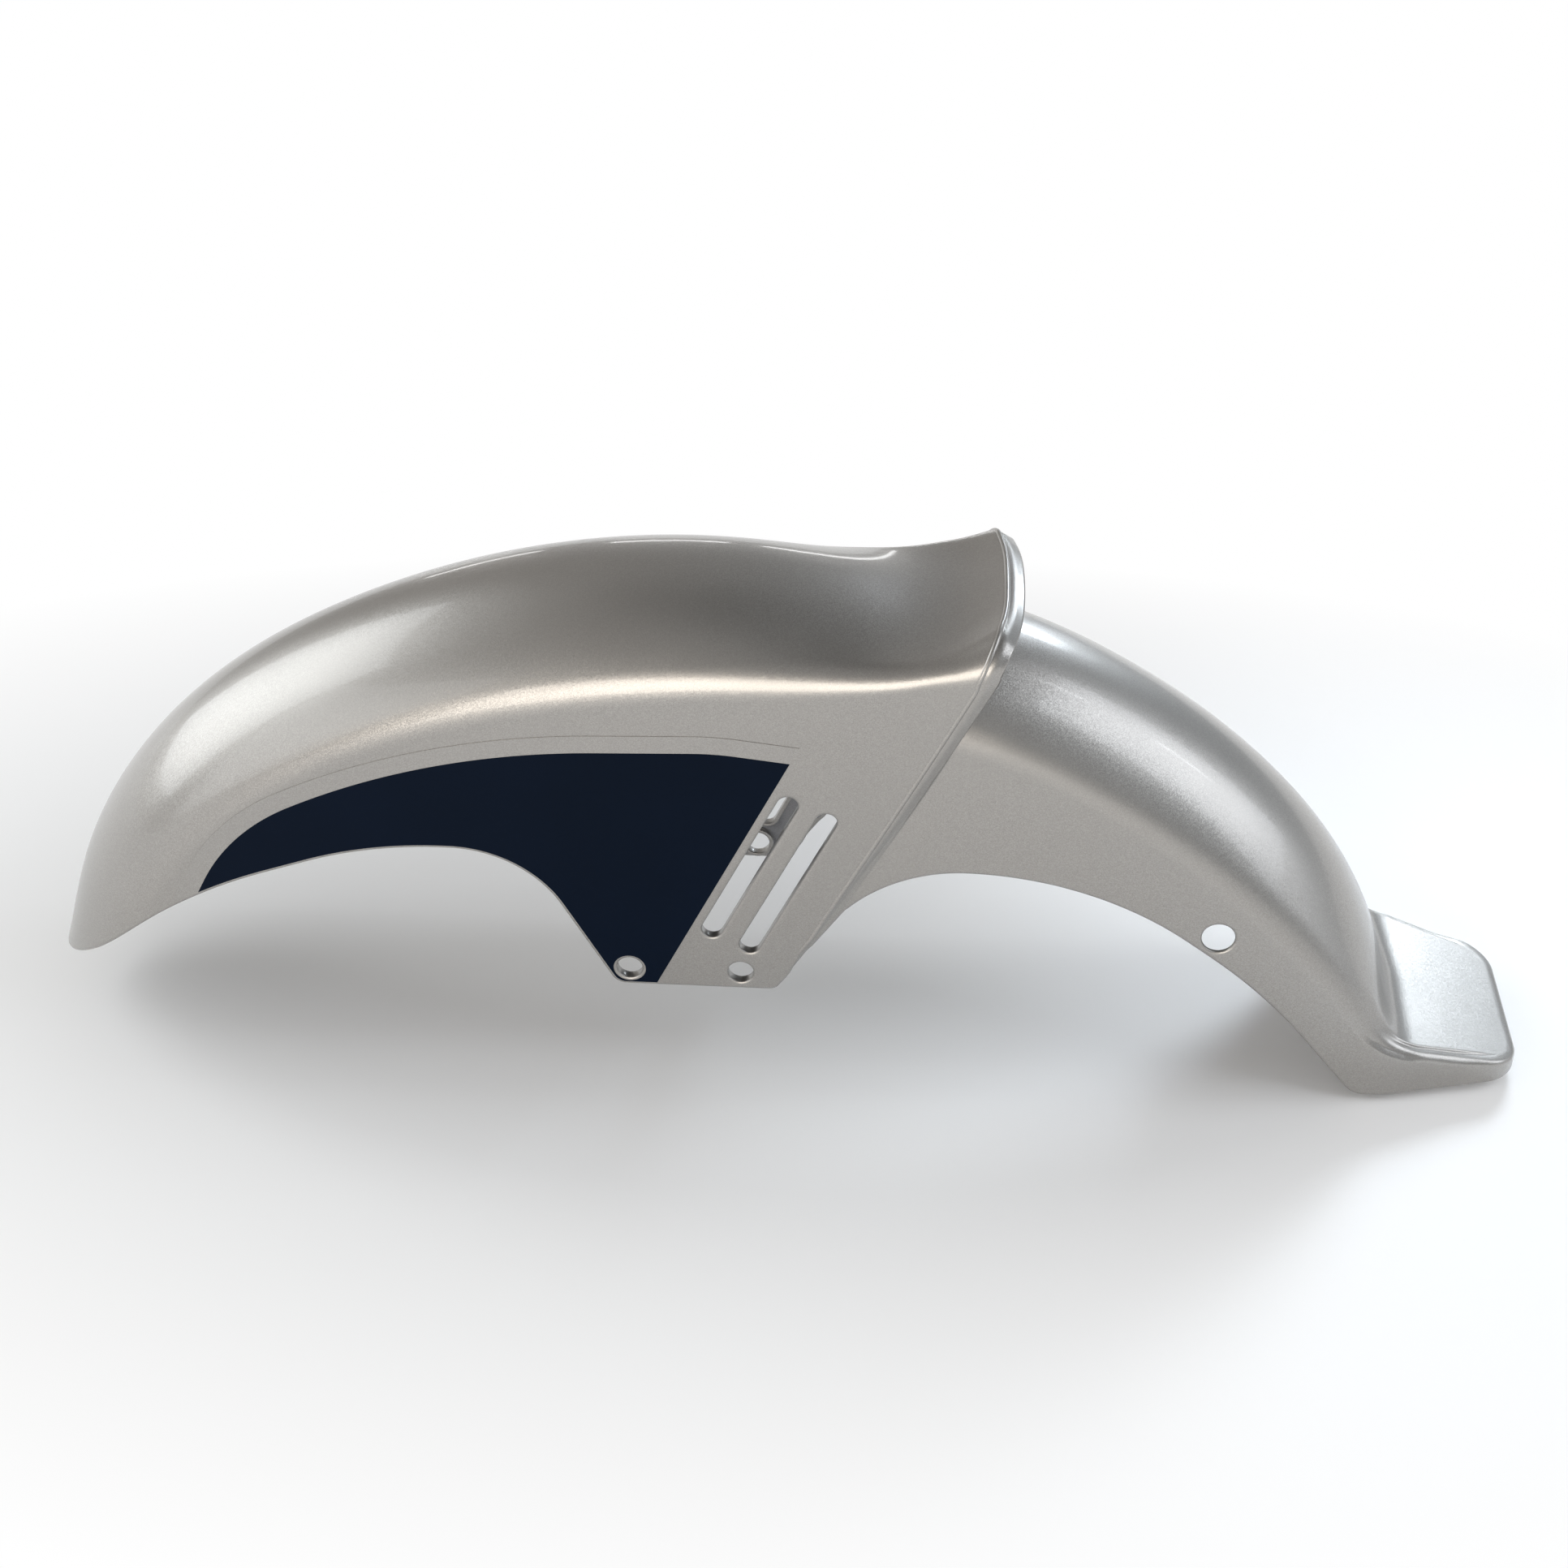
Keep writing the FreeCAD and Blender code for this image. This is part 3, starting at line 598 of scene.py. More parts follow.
# %% [markdown]
# The walls and the plate are flat or nearly so. Their borders are known from the grids and the
# lower edge, and the slots and holes are loops inside them. Blender's own triangulation fills
# such an outline and keeps every border point. Openings are drawn wider than they are, because
# a rolled edge or a return, a short inward collar, is added to each of them later.

# %% Filling a wall
SAME_PLACE = 1e-6


def inside(places, loop):
    """Which places lie inside a closed loop."""
    x, y = places[:, 0][:, None], places[:, 1][:, None]
    x1, y1 = loop[:, 0][None], loop[:, 1][None]
    x2, y2 = np.roll(x1, -1), np.roll(y1, -1)
    spans = (y1 > y) != (y2 > y)
    slope = np.where(y2 == y1, 1.0, y2 - y1)
    return ((x < (x2 - x1) * (y - y1) / slope + x1) & spans).sum(1) % 2 == 1


def in_field(places, border, openings):
    """Which places lie inside a border and outside all openings in it."""
    keep = inside(places, border)
    for loop in openings:
        keep &= ~inside(places, loop)
    return keep


def fill(border, openings, lift, spacing=9.0, margin=4.0, flat_axes=(0, 2)):
    """Triangles inside a border with openings; lift turns flat places into points of the surface."""
    loops = [border[:, flat_axes], *openings]
    edges, first = [], 0
    for loop in loops:
        count = len(loop)
        edges += [(first + i, first + (i + 1) % count) for i in range(count)]
        first += count
    places = np.concatenate(loops)
    low, high = places.min(0), places.max(0)
    lines = [np.arange(a, b, spacing) for a, b in zip(low, high)]
    spots = np.stack(np.meshgrid(*lines), -1).reshape(-1, 2)
    clear = np.linalg.norm(spots[:, None] - places[None], axis=2).min(1) > margin
    places = np.concatenate([places, spots[clear & in_field(spots, loops[0], openings)]])
    found, _, faces, origins, _, _ = delaunay_2d_cdt([Vector(p) for p in places], edges, [], 0, SAME_PLACE)
    found = np.array(found)
    points = lift(found)
    for k, origin in enumerate(origins):
        if origin and origin[0] < len(border):
            points[k] = border[origin[0]]
    faces = np.array(faces)
    return points, faces[in_field(found[faces].mean(1), loops[0], openings)]


def keep_fill(points, faces):
    """Adds triangles to the skin."""
    first = keep_points(points)
    skin_faces.extend(tuple(int(k) + first for k in face) for face in faces)


# %% The openings in side view
RETURN_WIDTH, RETURN_DEPTH = 2.5, 6.0
BOLT_SPACING, BOLT_HOLE = 64.0, 14.7
SLOT_LENGTH, SLOT_WIDTH, SLOT_RAKE = 110.0, 12.0, math.radians(25.9)
SLOT_PITCH, SLOT_MIDDLE = 23.7, np.array([48.2, 70.0])
SLOT_END_POINTS = 21
STAY_HOLE, STAY_PLACE, STAY_EASE = 19.0, np.array([300.0, 38.5]), 0.1


def ring(place, radius, turns=40):
    """A round loop."""
    turn = np.linspace(0, 2 * math.pi, turns, endpoint=False)
    return place + radius * np.stack([np.cos(turn), np.sin(turn)], 1)


def slot_loop(number, grow):
    """The loop of a slot, wider than the slot by grow on every side."""
    along = np.array([math.sin(SLOT_RAKE), math.cos(SLOT_RAKE)])
    across = np.array([math.cos(SLOT_RAKE), -math.sin(SLOT_RAKE)])
    middle = SLOT_MIDDLE + (number - 0.5) * SLOT_PITCH * across
    reach = (SLOT_LENGTH - SLOT_WIDTH) / 2
    turn = np.linspace(0, math.pi, SLOT_END_POINTS)[:, None]
    round_end = (SLOT_WIDTH / 2 + grow) * (np.cos(turn) * across + np.sin(turn) * along)
    return np.concatenate([middle + reach * along + round_end, middle - reach * along - round_end])


bolt_places = [np.array([side * BOLT_SPACING / 2, 0.0]) for side in (-1, 1)]
tab_loops = [ring(place, BOLT_HOLE / 2 + RETURN_WIDTH) for place in bolt_places]
tab_loops += [slot_loop(number, RETURN_WIDTH) for number in (0, 1)]
stay_loop = ring(STAY_PLACE, STAY_HOLE / 2 + WALL / 2 + STAY_EASE)
print(len(tab_loops), "openings in the tab and one for the stay")

# %% The walls and the plate
CORNER_GAP = 1.0
PLATE_SPACING, PLATE_MARGIN = 12.0, 6.0


def on_front_wall(places):
    """Points of the flat front wall above places in side view."""
    y = -(FRONT_HALF + FRONT_LEAN * places[:, 1])
    return np.stack([places[:, 0], y, places[:, 1]], 1)


def on_rear_wall(places):
    """Points of the rear wall above places in side view."""
    return np.stack([places[:, 0], -rear_wall_y(*places.T), places[:, 1]], 1)


def on_plate(places):
    """Points of the plate of the flap above places in plan."""
    return np.stack([places[:, 0], places[:, 1], plate_z(places[:, 0])], 1)


number = np.arange(len(lower_edge))
tab_foot = int(np.argmax((edge_tilt > LIP_TILT - LIP_SUPPORT) & rear_edge))
front_run = lower_edge[(number < tab_foot) & (lower_edge[:, 0] > front_grid[0, -1, 0] + CORNER_GAP)]
front_border = np.concatenate(
    [front_grid[:-1, -1], step[0, WALL_POINTS::-1], on_front_wall(front_run)[::-1]]
)
keep_fill(*fill(front_border, tab_loops, on_front_wall))
rear_foot = int(np.argmax((edge_tilt > BAND_TILT + SEAT_ROWS[-1]) & rear_edge))
rear_run = lower_edge[(number >= rear_foot) & (lower_edge[:, 0] < FLAP_START - CORNER_GAP)]
rear_border = np.concatenate(
    [
        rear_grid[:-1, -1],
        hollow[:-1, -1],
        rim[0, LAST_COLUMN - EDGE_OF_CROWN :],
        on_rear_wall(rear_run)[::-1],
        step[-1, :WALL_POINTS],
    ]
)
keep_fill(*fill(rear_border, [stay_loop], on_rear_wall))
plate_border = np.concatenate([hollow[-1, :EDGE_OF_CROWN], rim[:, 0]])
keep_fill(*fill(plate_border, [], on_plate, PLATE_SPACING, PLATE_MARGIN, (0, 1)))
print("skin of", len(skin_points), "points and", len(skin_faces), "faces on one side")

# %% [markdown]
# The other side is the mirror image. Mirroring turns faces inside out, so the normals are
# worked out afresh once the doubles along the middle are merged. Then the wall gets its
# thickness: every point has a partner on the inside, against the direction the skin faces
# there. Those directions are evened out first, so that the inside doesn't fold at the step.

# %% Both sides, merged
MERGE = 0.004
mesh = bmesh.new()
for side in (1, -1):
    corners = [mesh.verts.new((p[0], side * p[1], p[2])) for p in skin_points]
    for face in skin_faces:
        mesh.faces.new([corners[k] for k in face])
bmesh.ops.remove_doubles(mesh, verts=mesh.verts, dist=MERGE)
bmesh.ops.dissolve_degenerate(mesh, edges=mesh.edges, dist=MERGE)
bmesh.ops.recalc_face_normals(mesh, faces=mesh.faces)
mesh.verts.ensure_lookup_table()
topmost = max(mesh.faces, key=lambda face: face.calc_center_median().z)
if topmost.normal.z < 0:
    bmesh.ops.reverse_faces(mesh, faces=mesh.faces)
mesh.normal_update()
loose = [edge for edge in mesh.edges if len(edge.link_faces) == 1]
tangled = [edge for edge in mesh.edges if len(edge.link_faces) > 2]
print(len(mesh.verts), "points,", len(mesh.faces), "faces")
print(len(loose), "border edges,", len(tangled), "tangled")

# %% [markdown]
# Along every border the outside and the inside are joined. The lower edge and the stay hole get
# a half-round roll, as a mould leaves it. The slots and bolt holes get a return: over a small
# rounding into the opening, a collar inwards, and back to the inside of the wall.

# %% The inside of the wall
EVENING = 8
mesh.verts.index_update()
outside = np.array([vert.co for vert in mesh.verts])
facing = np.array([vert.normal for vert in mesh.verts])
links = np.array([[vert.index for vert in edge.verts] for edge in mesh.edges])
even = facing.copy()
for _ in range(EVENING):
    total = even.copy()
    np.add.at(total, links[:, 0], even[links[:, 1]])
    np.add.at(total, links[:, 1], even[links[:, 0]])
    even = unit(total)
follow, backing = {}, {}
for edge in mesh.edges:
    if len(edge.link_faces) == 1:
        corner = edge.link_loops[0]
        follow[corner.vert.index] = corner.link_loop_next.vert.index
        backing[corner.vert.index] = np.array(corner.face.calc_center_median())
rims = list(follow)
even[rims] = facing[rims]
inside_points = outside - WALL * even
print(len(inside_points), "points on the inside,", len(rims), "of them along borders")

# %% Rolled edges and returns
RIM_SPAN = 1.5
ROLL_POINTS = 8
LONGEST_OPENING = 100
roll_turn = np.linspace(0, math.pi, ROLL_POINTS)
ROLL = [(FLAT_RIM + WALL / 2 * math.sin(t), WALL / 2 * (1 - math.cos(t))) for t in roll_turn]
RETURN = [(1.3, 0.0), (2.05, 0.22), (2.4, 0.6), (RETURN_WIDTH, 1.2), (RETURN_WIDTH, RETURN_DEPTH - 0.6)]
RETURN += [(2.2, RETURN_DEPTH), (0.5, RETURN_DEPTH), (0.0, RETURN_DEPTH - 0.5)]
shell_points = [*outside, *inside_points]
shell_faces = [([vert.index for vert in face.verts], 0) for face in mesh.faces]
mesh.free()
inside_from = len(outside)
shell_faces += [([k + inside_from for k in reversed(face)], 1) for face, _ in list(shell_faces)]


def border_loops():
    """The borders of the skin, each as a list of point numbers in order."""
    left = set(follow)
    while left:
        loop = [next(iter(left))]
        while follow[loop[-1]] != loop[0]:
            loop.append(follow[loop[-1]])
        left -= set(loop)
        yield loop


def beside(here, values, shift):
    """Values a shift further along a closed border."""
    gaps = np.linalg.norm(np.roll(here, -1, axis=0) - here, axis=1)
    length = np.concatenate([[0.0], np.cumsum(gaps)])
    looped = np.concatenate([values, values[:1]])
    return np.stack([np.interp((length[:-1] + shift) % length[-1], length, v) for v in looped.T], 1)


def close_rim(loop, path):
    """Joins outside and inside along a border by a path of steps out and down into the wall."""
    here = outside[loop]
    along = beside(here, here, RIM_SPAN) - beside(here, here, -RIM_SPAN)
    outward = unit(sum(beside(here, facing[loop], shift) for shift in (-RIM_SPAN, 0.0, RIM_SPAN)))
    away = unit(np.cross(along, outward))
    behind = here - np.array([backing[k] for k in loop])
    if (behind * away).sum() < 0:
        away = -away
    rows = [loop]
    for out, down in path:
        rows.append(list(range(len(shell_points), len(shell_points) + len(loop))))
        shell_points.extend(here + out * away - down * outward)
    for k, place in zip(loop, here - WALL * outward):
        shell_points[k + inside_from] = place
    rows.append([k + inside_from for k in loop])
    for near, far in zip(rows, rows[1:]):
        for i in range(len(loop)):
            j = (i + 1) % len(loop)
            shell_faces.append(([near[j], near[i], far[i], far[j]], 0))


for loop in border_loops():
    middle = outside[loop].mean(0)
    in_tab = len(loop) < LONGEST_OPENING and middle[0] < STAY_PLACE[0] / 2
    close_rim(loop, RETURN if in_tab else ROLL)
    print("border of", len(loop), "points", "gets a return" if in_tab else "is rolled")


# %% [markdown]
# Points and faces become a mesh object through one helper, which also sets the scale to metres,
# gives every face its material and smooths the shading. The edges of the moulding all have their
# own roundings, so it can be shaded smooth all over.

# %% From points to an object
def make_piece(name, points, faces, materials):
    """A mesh object in metres from millimetre points and (corners, material number) faces."""
    data = bpy.data.meshes.new(name)
    data.from_pydata(np.asarray(points) * MILLIMETRE, [], [corners for corners, _ in faces])
    for material in materials:
        data.materials.append(material)
    data.polygons.foreach_set("material_index", [number for _, number in faces])
    data.polygons.foreach_set("use_smooth", [True] * len(faces))
    data.update()
    piece = bpy.data.objects.new(name, data)
    bpy.context.collection.objects.link(piece)
    return piece


# %% [markdown]
# The paint is silver with fine metal flakes under clear lacquer. The flakes are tiny mirrors
# that lie almost flat, so each cell of a very fine cell pattern tilts the shading a little and
# changes its tone. The lacquer is the coat of the shader: it stays smooth and gives the clear
# reflections on top. A slow noise makes the paint a bit less even, as on a part that was handled.


# %% Helpers for materials
def new_material(name):
    """A material with its node tree, its main shader and a texture coordinate."""
    material = bpy.data.materials.new(name)
    material.use_nodes = True
    tree = material.node_tree
    return material, tree, tree.nodes["Principled BSDF"], tree.nodes.new("ShaderNodeTexCoord")


def calculate(tree, kind, operation, *values):
    """A Math or VectorMath node; each value is a socket to read or a constant."""
    node = tree.nodes.new(f"ShaderNode{kind}")
    node.operation = operation
    for socket, value in zip(node.inputs, values):
        if isinstance(value, bpy.types.NodeSocket):
            tree.links.new(value, socket)
        else:
            socket.default_value = value
    return node


def ramp(tree, source, stops):
    """A colour ramp over a value, from (place, colour) stops."""
    node = tree.nodes.new("ShaderNodeValToRGB")
    elements = node.color_ramp.elements
    while len(elements) < len(stops):
        elements.new(0.5)
    for element, (place, colour) in zip(elements, stops):
        element.position = place
        element.color = (*colour, 1.0)
    tree.links.new(source, node.inputs["Fac"])
    return node.outputs["Color"]


def noise(tree, place, scale, detail):
    """A noise pattern over object coordinates."""
    node = tree.nodes.new("ShaderNodeTexNoise")
    node.inputs["Scale"].default_value = scale
    node.inputs["Detail"].default_value = detail
    tree.links.new(place.outputs["Object"], node.inputs["Vector"])
    return node.outputs["Fac"]


# %% Silver paint
FLAKE_SCALE, FLAKE_TILT = 2600.0, 0.1
DARK_FLAKE, BRIGHT_FLAKE, PLAIN_SHARE = 0.84, 1.1, 0.75
HANDLED_SCALE, HANDLED_DETAIL, HANDLED_ROUGHNESS = 14.0, 4.0, 0.05
METAL, LACQUER_ROUGHNESS = 0.9, 0.09
SILVER = (0.38, 0.367, 0.35)
INSIDE_GREY = (0.3, 0.3, 0.31)


def paint(name, tone, roughness, coat):
    """Metallic paint: flakes that tilt and vary, under a clear coat."""
    material, tree, shader, place = new_material(name)
    cells = tree.nodes.new("ShaderNodeTexVoronoi")
    cells.inputs["Scale"].default_value = FLAKE_SCALE
    tree.links.new(place.outputs["Object"], cells.inputs["Vector"])
    parts = tree.nodes.new("ShaderNodeSeparateColor")
    tree.links.new(cells.outputs["Color"], parts.inputs["Color"])
    dark, bright = ([change * c for c in tone] for change in (DARK_FLAKE, BRIGHT_FLAKE))
    flakes = [(0.0, dark), (PLAIN_SHARE, tone), (1.0, bright)]
    tree.links.new(ramp(tree, parts.outputs["Red"], flakes), shader.inputs["Base Color"])
    normal = tree.nodes.new("ShaderNodeNewGeometry").outputs["Normal"]
    centred = calculate(tree, "VectorMath", "SUBTRACT", cells.outputs["Color"], (0.5, 0.5, 0.5)).outputs[0]
    tilted = calculate(tree, "VectorMath", "MULTIPLY_ADD", centred, (FLAKE_TILT,) * 3, normal).outputs[0]
    flake_way = calculate(tree, "VectorMath", "NORMALIZE", tilted).outputs[0]
    tree.links.new(flake_way, shader.inputs["Normal"])
    handled = noise(tree, place, HANDLED_SCALE, HANDLED_DETAIL)
    spread = [(0.3, (roughness,) * 3), (0.7, (roughness + HANDLED_ROUGHNESS,) * 3)]
    tree.links.new(ramp(tree, handled, spread), shader.inputs["Roughness"])
    shader.inputs["Metallic"].default_value = METAL
    shader.inputs["Coat Weight"].default_value = coat
    shader.inputs["Coat Roughness"].default_value = LACQUER_ROUGHNESS
    return material


silver = paint("silver_paint", SILVER, roughness=0.34, coat=0.6)
inside_coat = paint("inside_coat", INSIDE_GREY, roughness=0.55, coat=0.1)
shell = make_piece("mudguard_skin", shell_points, shell_faces, [silver, inside_coat])
print(shell.name, len(shell.data.vertices), "points,", len(shell.data.polygons), "faces")

# %% [markdown]
# The lip ends in a thin rounded bead that catches the light from one tab over the crown to the
# other. It follows a path, so a small node tree sweeps a circle along the line of the lip and
# joins the result to the skin. Two helpers serve such trees: one makes a tree with its named
# inputs, the other hangs it on an object and turns the outcome into a plain mesh.


# %% Node trees
def node_tree(name, inputs):
    """A geometry node tree with named inputs; gives the tree, its two ends and its sockets by name."""
    tree = bpy.data.node_groups.new(name, "GeometryNodeTree")
    tree.interface.new_socket("Geometry", in_out="INPUT", socket_type="NodeSocketGeometry")
    tree.interface.new_socket("Geometry", in_out="OUTPUT", socket_type="NodeSocketGeometry")
    sockets = {}
    for label, kind in inputs.items():
        sockets[label] = tree.interface.new_socket(label, in_out="INPUT", socket_type=kind).identifier
    return tree, tree.nodes.new("NodeGroupInput"), tree.nodes.new("NodeGroupOutput"), sockets


def apply_tree(piece, tree, sockets, values):
    """Hangs the tree on a piece, sets its inputs, and keeps the outcome as a plain mesh."""
    modifier = piece.modifiers.new(tree.name, "NODES")
    modifier.node_group = tree
    for label, value in values.items():
        modifier[sockets[label]] = value
    outcome = piece.evaluated_get(bpy.context.evaluated_depsgraph_get())
    plain = bpy.data.meshes.new_from_object(outcome)
    piece.modifiers.remove(modifier)
    piece.data = plain


# %% The bead along the lip
BEAD_RADIUS, BEAD_SUNK = 1.5, 0.8
BEAD_SIDES = 14
BEAD_DIVE, DIVE_POINTS = 1.6, 4
BEAD_STARTS = 2
tree, start, end, sockets = node_tree(
    "lip_bead",
    {
        "Line": "NodeSocketObject",
        "Radius": "NodeSocketFloat",
        "Sides": "NodeSocketInt",
        "Finish": "NodeSocketMaterial",
    },
)
line_info = tree.nodes.new("GeometryNodeObjectInfo")
circle = tree.nodes.new("GeometryNodeCurvePrimitiveCircle")
sweep = tree.nodes.new("GeometryNodeCurveToMesh")
sweep.inputs["Fill Caps"].default_value = True
finish = tree.nodes.new("GeometryNodeSetMaterial")
join = tree.nodes.new("GeometryNodeJoinGeometry")
realize = tree.nodes.new("GeometryNodeRealizeInstances")
for source, target in (
    (start.outputs["Line"], line_info.inputs["Object"]),
    (start.outputs["Radius"], circle.inputs["Radius"]),
    (start.outputs["Sides"], circle.inputs["Resolution"]),
    (line_info.outputs["Geometry"], sweep.inputs["Curve"]),
    (circle.outputs["Curve"], sweep.inputs["Profile Curve"]),
    (sweep.outputs["Mesh"], realize.inputs["Geometry"]),
    (realize.outputs["Geometry"], finish.inputs["Geometry"]),
    (start.outputs["Finish"], finish.inputs["Material"]),
    (finish.outputs["Geometry"], join.inputs["Geometry"]),
    (start.outputs["Geometry"], join.inputs["Geometry"]),
    (join.outputs["Geometry"], end.inputs["Geometry"]),
):
    tree.links.new(source, target)
half_lip = band_row(BAND_ROWS[0][0], BEAD_SUNK)[BEAD_STARTS:]
dive = np.clip(1 - np.arange(len(half_lip)) / DIVE_POINTS, 0, 1) ** 2
half_lip += BEAD_DIVE * dive[:, None] * (-1, 1, 0)
lip_line = np.concatenate([half_lip, half_lip[-2::-1] * (1, -1, 1)])
widest = max(corner[1] for corner in solid_bounds) / MILLIMETRE - BEAD_RADIUS - CLEARANCE
lip_line[:, 1] = np.clip(lip_line[:, 1], -widest, widest)
lip_line *= MILLIMETRE
curve = bpy.data.curves.new("lip_line", "CURVE")
curve.dimensions = "3D"
spline = curve.splines.new("POLY")
spline.points.add(len(lip_line) - 1)
spline.points.foreach_set("co", np.hstack([lip_line, np.ones((len(lip_line), 1))]).ravel())
line = bpy.data.objects.new("lip_line", curve)
bpy.context.collection.objects.link(line)
bead = {"Line": line, "Radius": BEAD_RADIUS * MILLIMETRE, "Sides": BEAD_SIDES, "Finish": silver}
apply_tree(shell, tree, sockets, bead)
bpy.data.objects.remove(line)
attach(shell, "root")
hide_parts("mudguard_shell")
print("with the bead", len(shell.data.vertices), "points,", len(shell.data.polygons), "faces")

# %% [markdown]
# The blue is printed film with a satin gloss: very dark, with a faint, slow unevenness where it
# was pressed on. The clear margin shows the paint below it. It is the same silver, a little
# smoother and under more lacquer, so that only its edge and its gloss tell it from the paint.

# %% Film finishes
DEEP_BLUE, LIGHTER_BLUE = (0.001, 0.0045, 0.013), (0.0015, 0.0055, 0.016)
PRESSED_SCALE, RIPPLE_SCALE, FILM_DETAIL = 9.0, 260.0, 3.0
RIPPLE_STRENGTH, RIPPLE_DEPTH = 0.05, 0.0004
FILM_ROUGHNESS, FILM_SPECULAR = 0.3, 0.06


def film_blue():
    """Dark blue printed film."""
    material, tree, shader, place = new_material("film_blue")
    pressed = noise(tree, place, PRESSED_SCALE, FILM_DETAIL)
    colour = ramp(tree, pressed, [(0.35, DEEP_BLUE), (0.7, LIGHTER_BLUE)])
    tree.links.new(colour, shader.inputs["Base Color"])
    ripple = tree.nodes.new("ShaderNodeBump")
    ripple.inputs["Strength"].default_value = RIPPLE_STRENGTH
    ripple.inputs["Distance"].default_value = RIPPLE_DEPTH
    tree.links.new(noise(tree, place, RIPPLE_SCALE, FILM_DETAIL), ripple.inputs["Height"])
    tree.links.new(ripple.outputs["Normal"], shader.inputs["Normal"])
    shader.inputs["Roughness"].default_value = FILM_ROUGHNESS
    shader.inputs["Specular IOR Level"].default_value = FILM_SPECULAR
    return material


blue = film_blue()
clear = paint("film_clear", SILVER, roughness=0.31, coat=0.8)
print("film finishes", blue.name, clear.name)

# %% [markdown]
# A dark blue film lies on each side, from the nose to a straight raked end on the tab. It is
# printed on a clear film that stands out a little beyond the colour. Both are one thin sheet
# that follows the wall and climbs onto the shoulder near the nose, so its outline is drawn and
# filled in side view first.

# %% The outline of the film
FILM = 0.3
FILM_FOOT = 0.02
FILM_MARGIN = 2.1
CLEAR_MARGIN = 11.0
RAKED_POINTS = 24
TAB_FOOT = 20.0
FILM_TOP = [
    (-290.0, 20.0, 0.0),
    (-254.0, 88.0, 126.0),
    (-136.0, 147.3, 412.0),
    (19.0, 153.0, 158.0),
    (60.3, 148.0, 0.0),
]
RAKED_END = np.array([[60.3, 148.0], [-21.3, -20.0]])
rake = RAKED_END[0] - RAKED_END[1]
film_edge = shifted(rounded_line(LOWER_EDGE), FILM_MARGIN)
colour_top = rounded_line(FILM_TOP)
clear_top = shifted(colour_top, CLEAR_MARGIN)


def trimmed(line):
    """The part of a line above the film's lower edge, from where it crosses that edge."""
    above = line[:, 1] - np.interp(line[:, 0], *film_edge[film_edge[:, 0] < NOSE_BEFORE].T)
    k = int(np.argmax(above > 0))
    part = above[k - 1] / (above[k - 1] - above[k])
    return np.concatenate([[line[k - 1] + part * (line[k] - line[k - 1])], line[k:]])


def at_raked_end(line):
    """The line, ended on the raked end carried on straight."""
    past = (line - RAKED_END[1]) @ np.array([rake[1], -rake[0]]) > -SAME_PLACE
    k = int(np.argmax(past)) if past.any() else len(line)
    before, after = line[k - 2], line[k - 1]
    matrix = np.stack([after - before, -rake], 1)
    part = np.linalg.solve(matrix, RAKED_END[1] - before)[0]
    return np.concatenate([line[: k - 1], [before + part * (after - before)]])


colour_top = trimmed(colour_top)
clear_top = at_raked_end(trimmed(clear_top))
foot_z = film_edge[np.abs(film_edge[:, 0]) < TAB_FOOT, 1].min()
foot = RAKED_END[1] + (foot_z - RAKED_END[1][1]) / rake[1] * rake


def edge_between(start, end):
    """The film's lower edge between two points, without the points close to them."""
    x = film_edge[:, 0]
    return film_edge[(x > start[0] + CORNER_GAP) & (x < end[0] - CORNER_GAP)]


under = edge_between(colour_top[0], foot)
between = edge_between(clear_top[0], colour_top[0])
end_points = np.linspace(colour_top[-1], foot, RAKED_POINTS)[1:]
colour_border = np.concatenate([colour_top, end_points, under[::-1]])
clear_border = np.concatenate([clear_top, colour_top[::-1], between[::-1]])
print("film from", colour_border.min(0).round(1), "to", colour_border.max(0).round(1))

# %% [markdown]
# The film follows a surface, so a node tree lays it on. The flat sheet starts beside the
# mudguard. Every point of it looks straight across, finds the skin, moves there, and the sheet
# is thickened along the direction in which the skin faces. Its cut edge is too thin for a
# rounding, so the tree marks every sharp corner for the shading.

# %% The tree that lays a sheet on a surface
SHARP_CORNER = math.radians(50.0)
tree, start, end, sockets = node_tree(
    "laid_film",
    {
        "Surface": "NodeSocketObject",
        "Look": "NodeSocketVector",
        "Reach": "NodeSocketFloat",
        "Thickness": "NodeSocketFloat",
        "Foot": "NodeSocketFloat",
        "Colour": "NodeSocketMaterial",
        "Margin": "NodeSocketMaterial",
    },
)
surface = tree.nodes.new("GeometryNodeObjectInfo")
look = tree.nodes.new("GeometryNodeRaycast")
facing_kept = tree.nodes.new("GeometryNodeCaptureAttribute")
facing_kept.capture_items.new("VECTOR", "Facing")
foot_step = tree.nodes.new("ShaderNodeVectorMath")
foot_step.operation = "SCALE"
seat_place = tree.nodes.new("ShaderNodeVectorMath")
seat_place.operation = "ADD"
lay = tree.nodes.new("GeometryNodeSetPosition")
thicken = tree.nodes.new("GeometryNodeExtrudeMesh")
thicken.inputs["Individual"].default_value = False
edge_angle = tree.nodes.new("GeometryNodeInputMeshEdgeAngle")
is_corner = tree.nodes.new("ShaderNodeMath")
is_corner.operation = "GREATER_THAN"
is_corner.inputs[1].default_value = SHARP_CORNER
crisp = tree.nodes.new("GeometryNodeSetShadeSmooth")
crisp.domain = "EDGE"
crisp.inputs["Shade Smooth"].default_value = False
realize = tree.nodes.new("GeometryNodeRealizeInstances")
colour_all = tree.nodes.new("GeometryNodeSetMaterial")
margin_named = tree.nodes.new("GeometryNodeInputNamedAttribute")
margin_named.data_type = "BOOLEAN"
margin_named.inputs["Name"].default_value = "clear_margin"
colour_margin = tree.nodes.new("GeometryNodeSetMaterial")
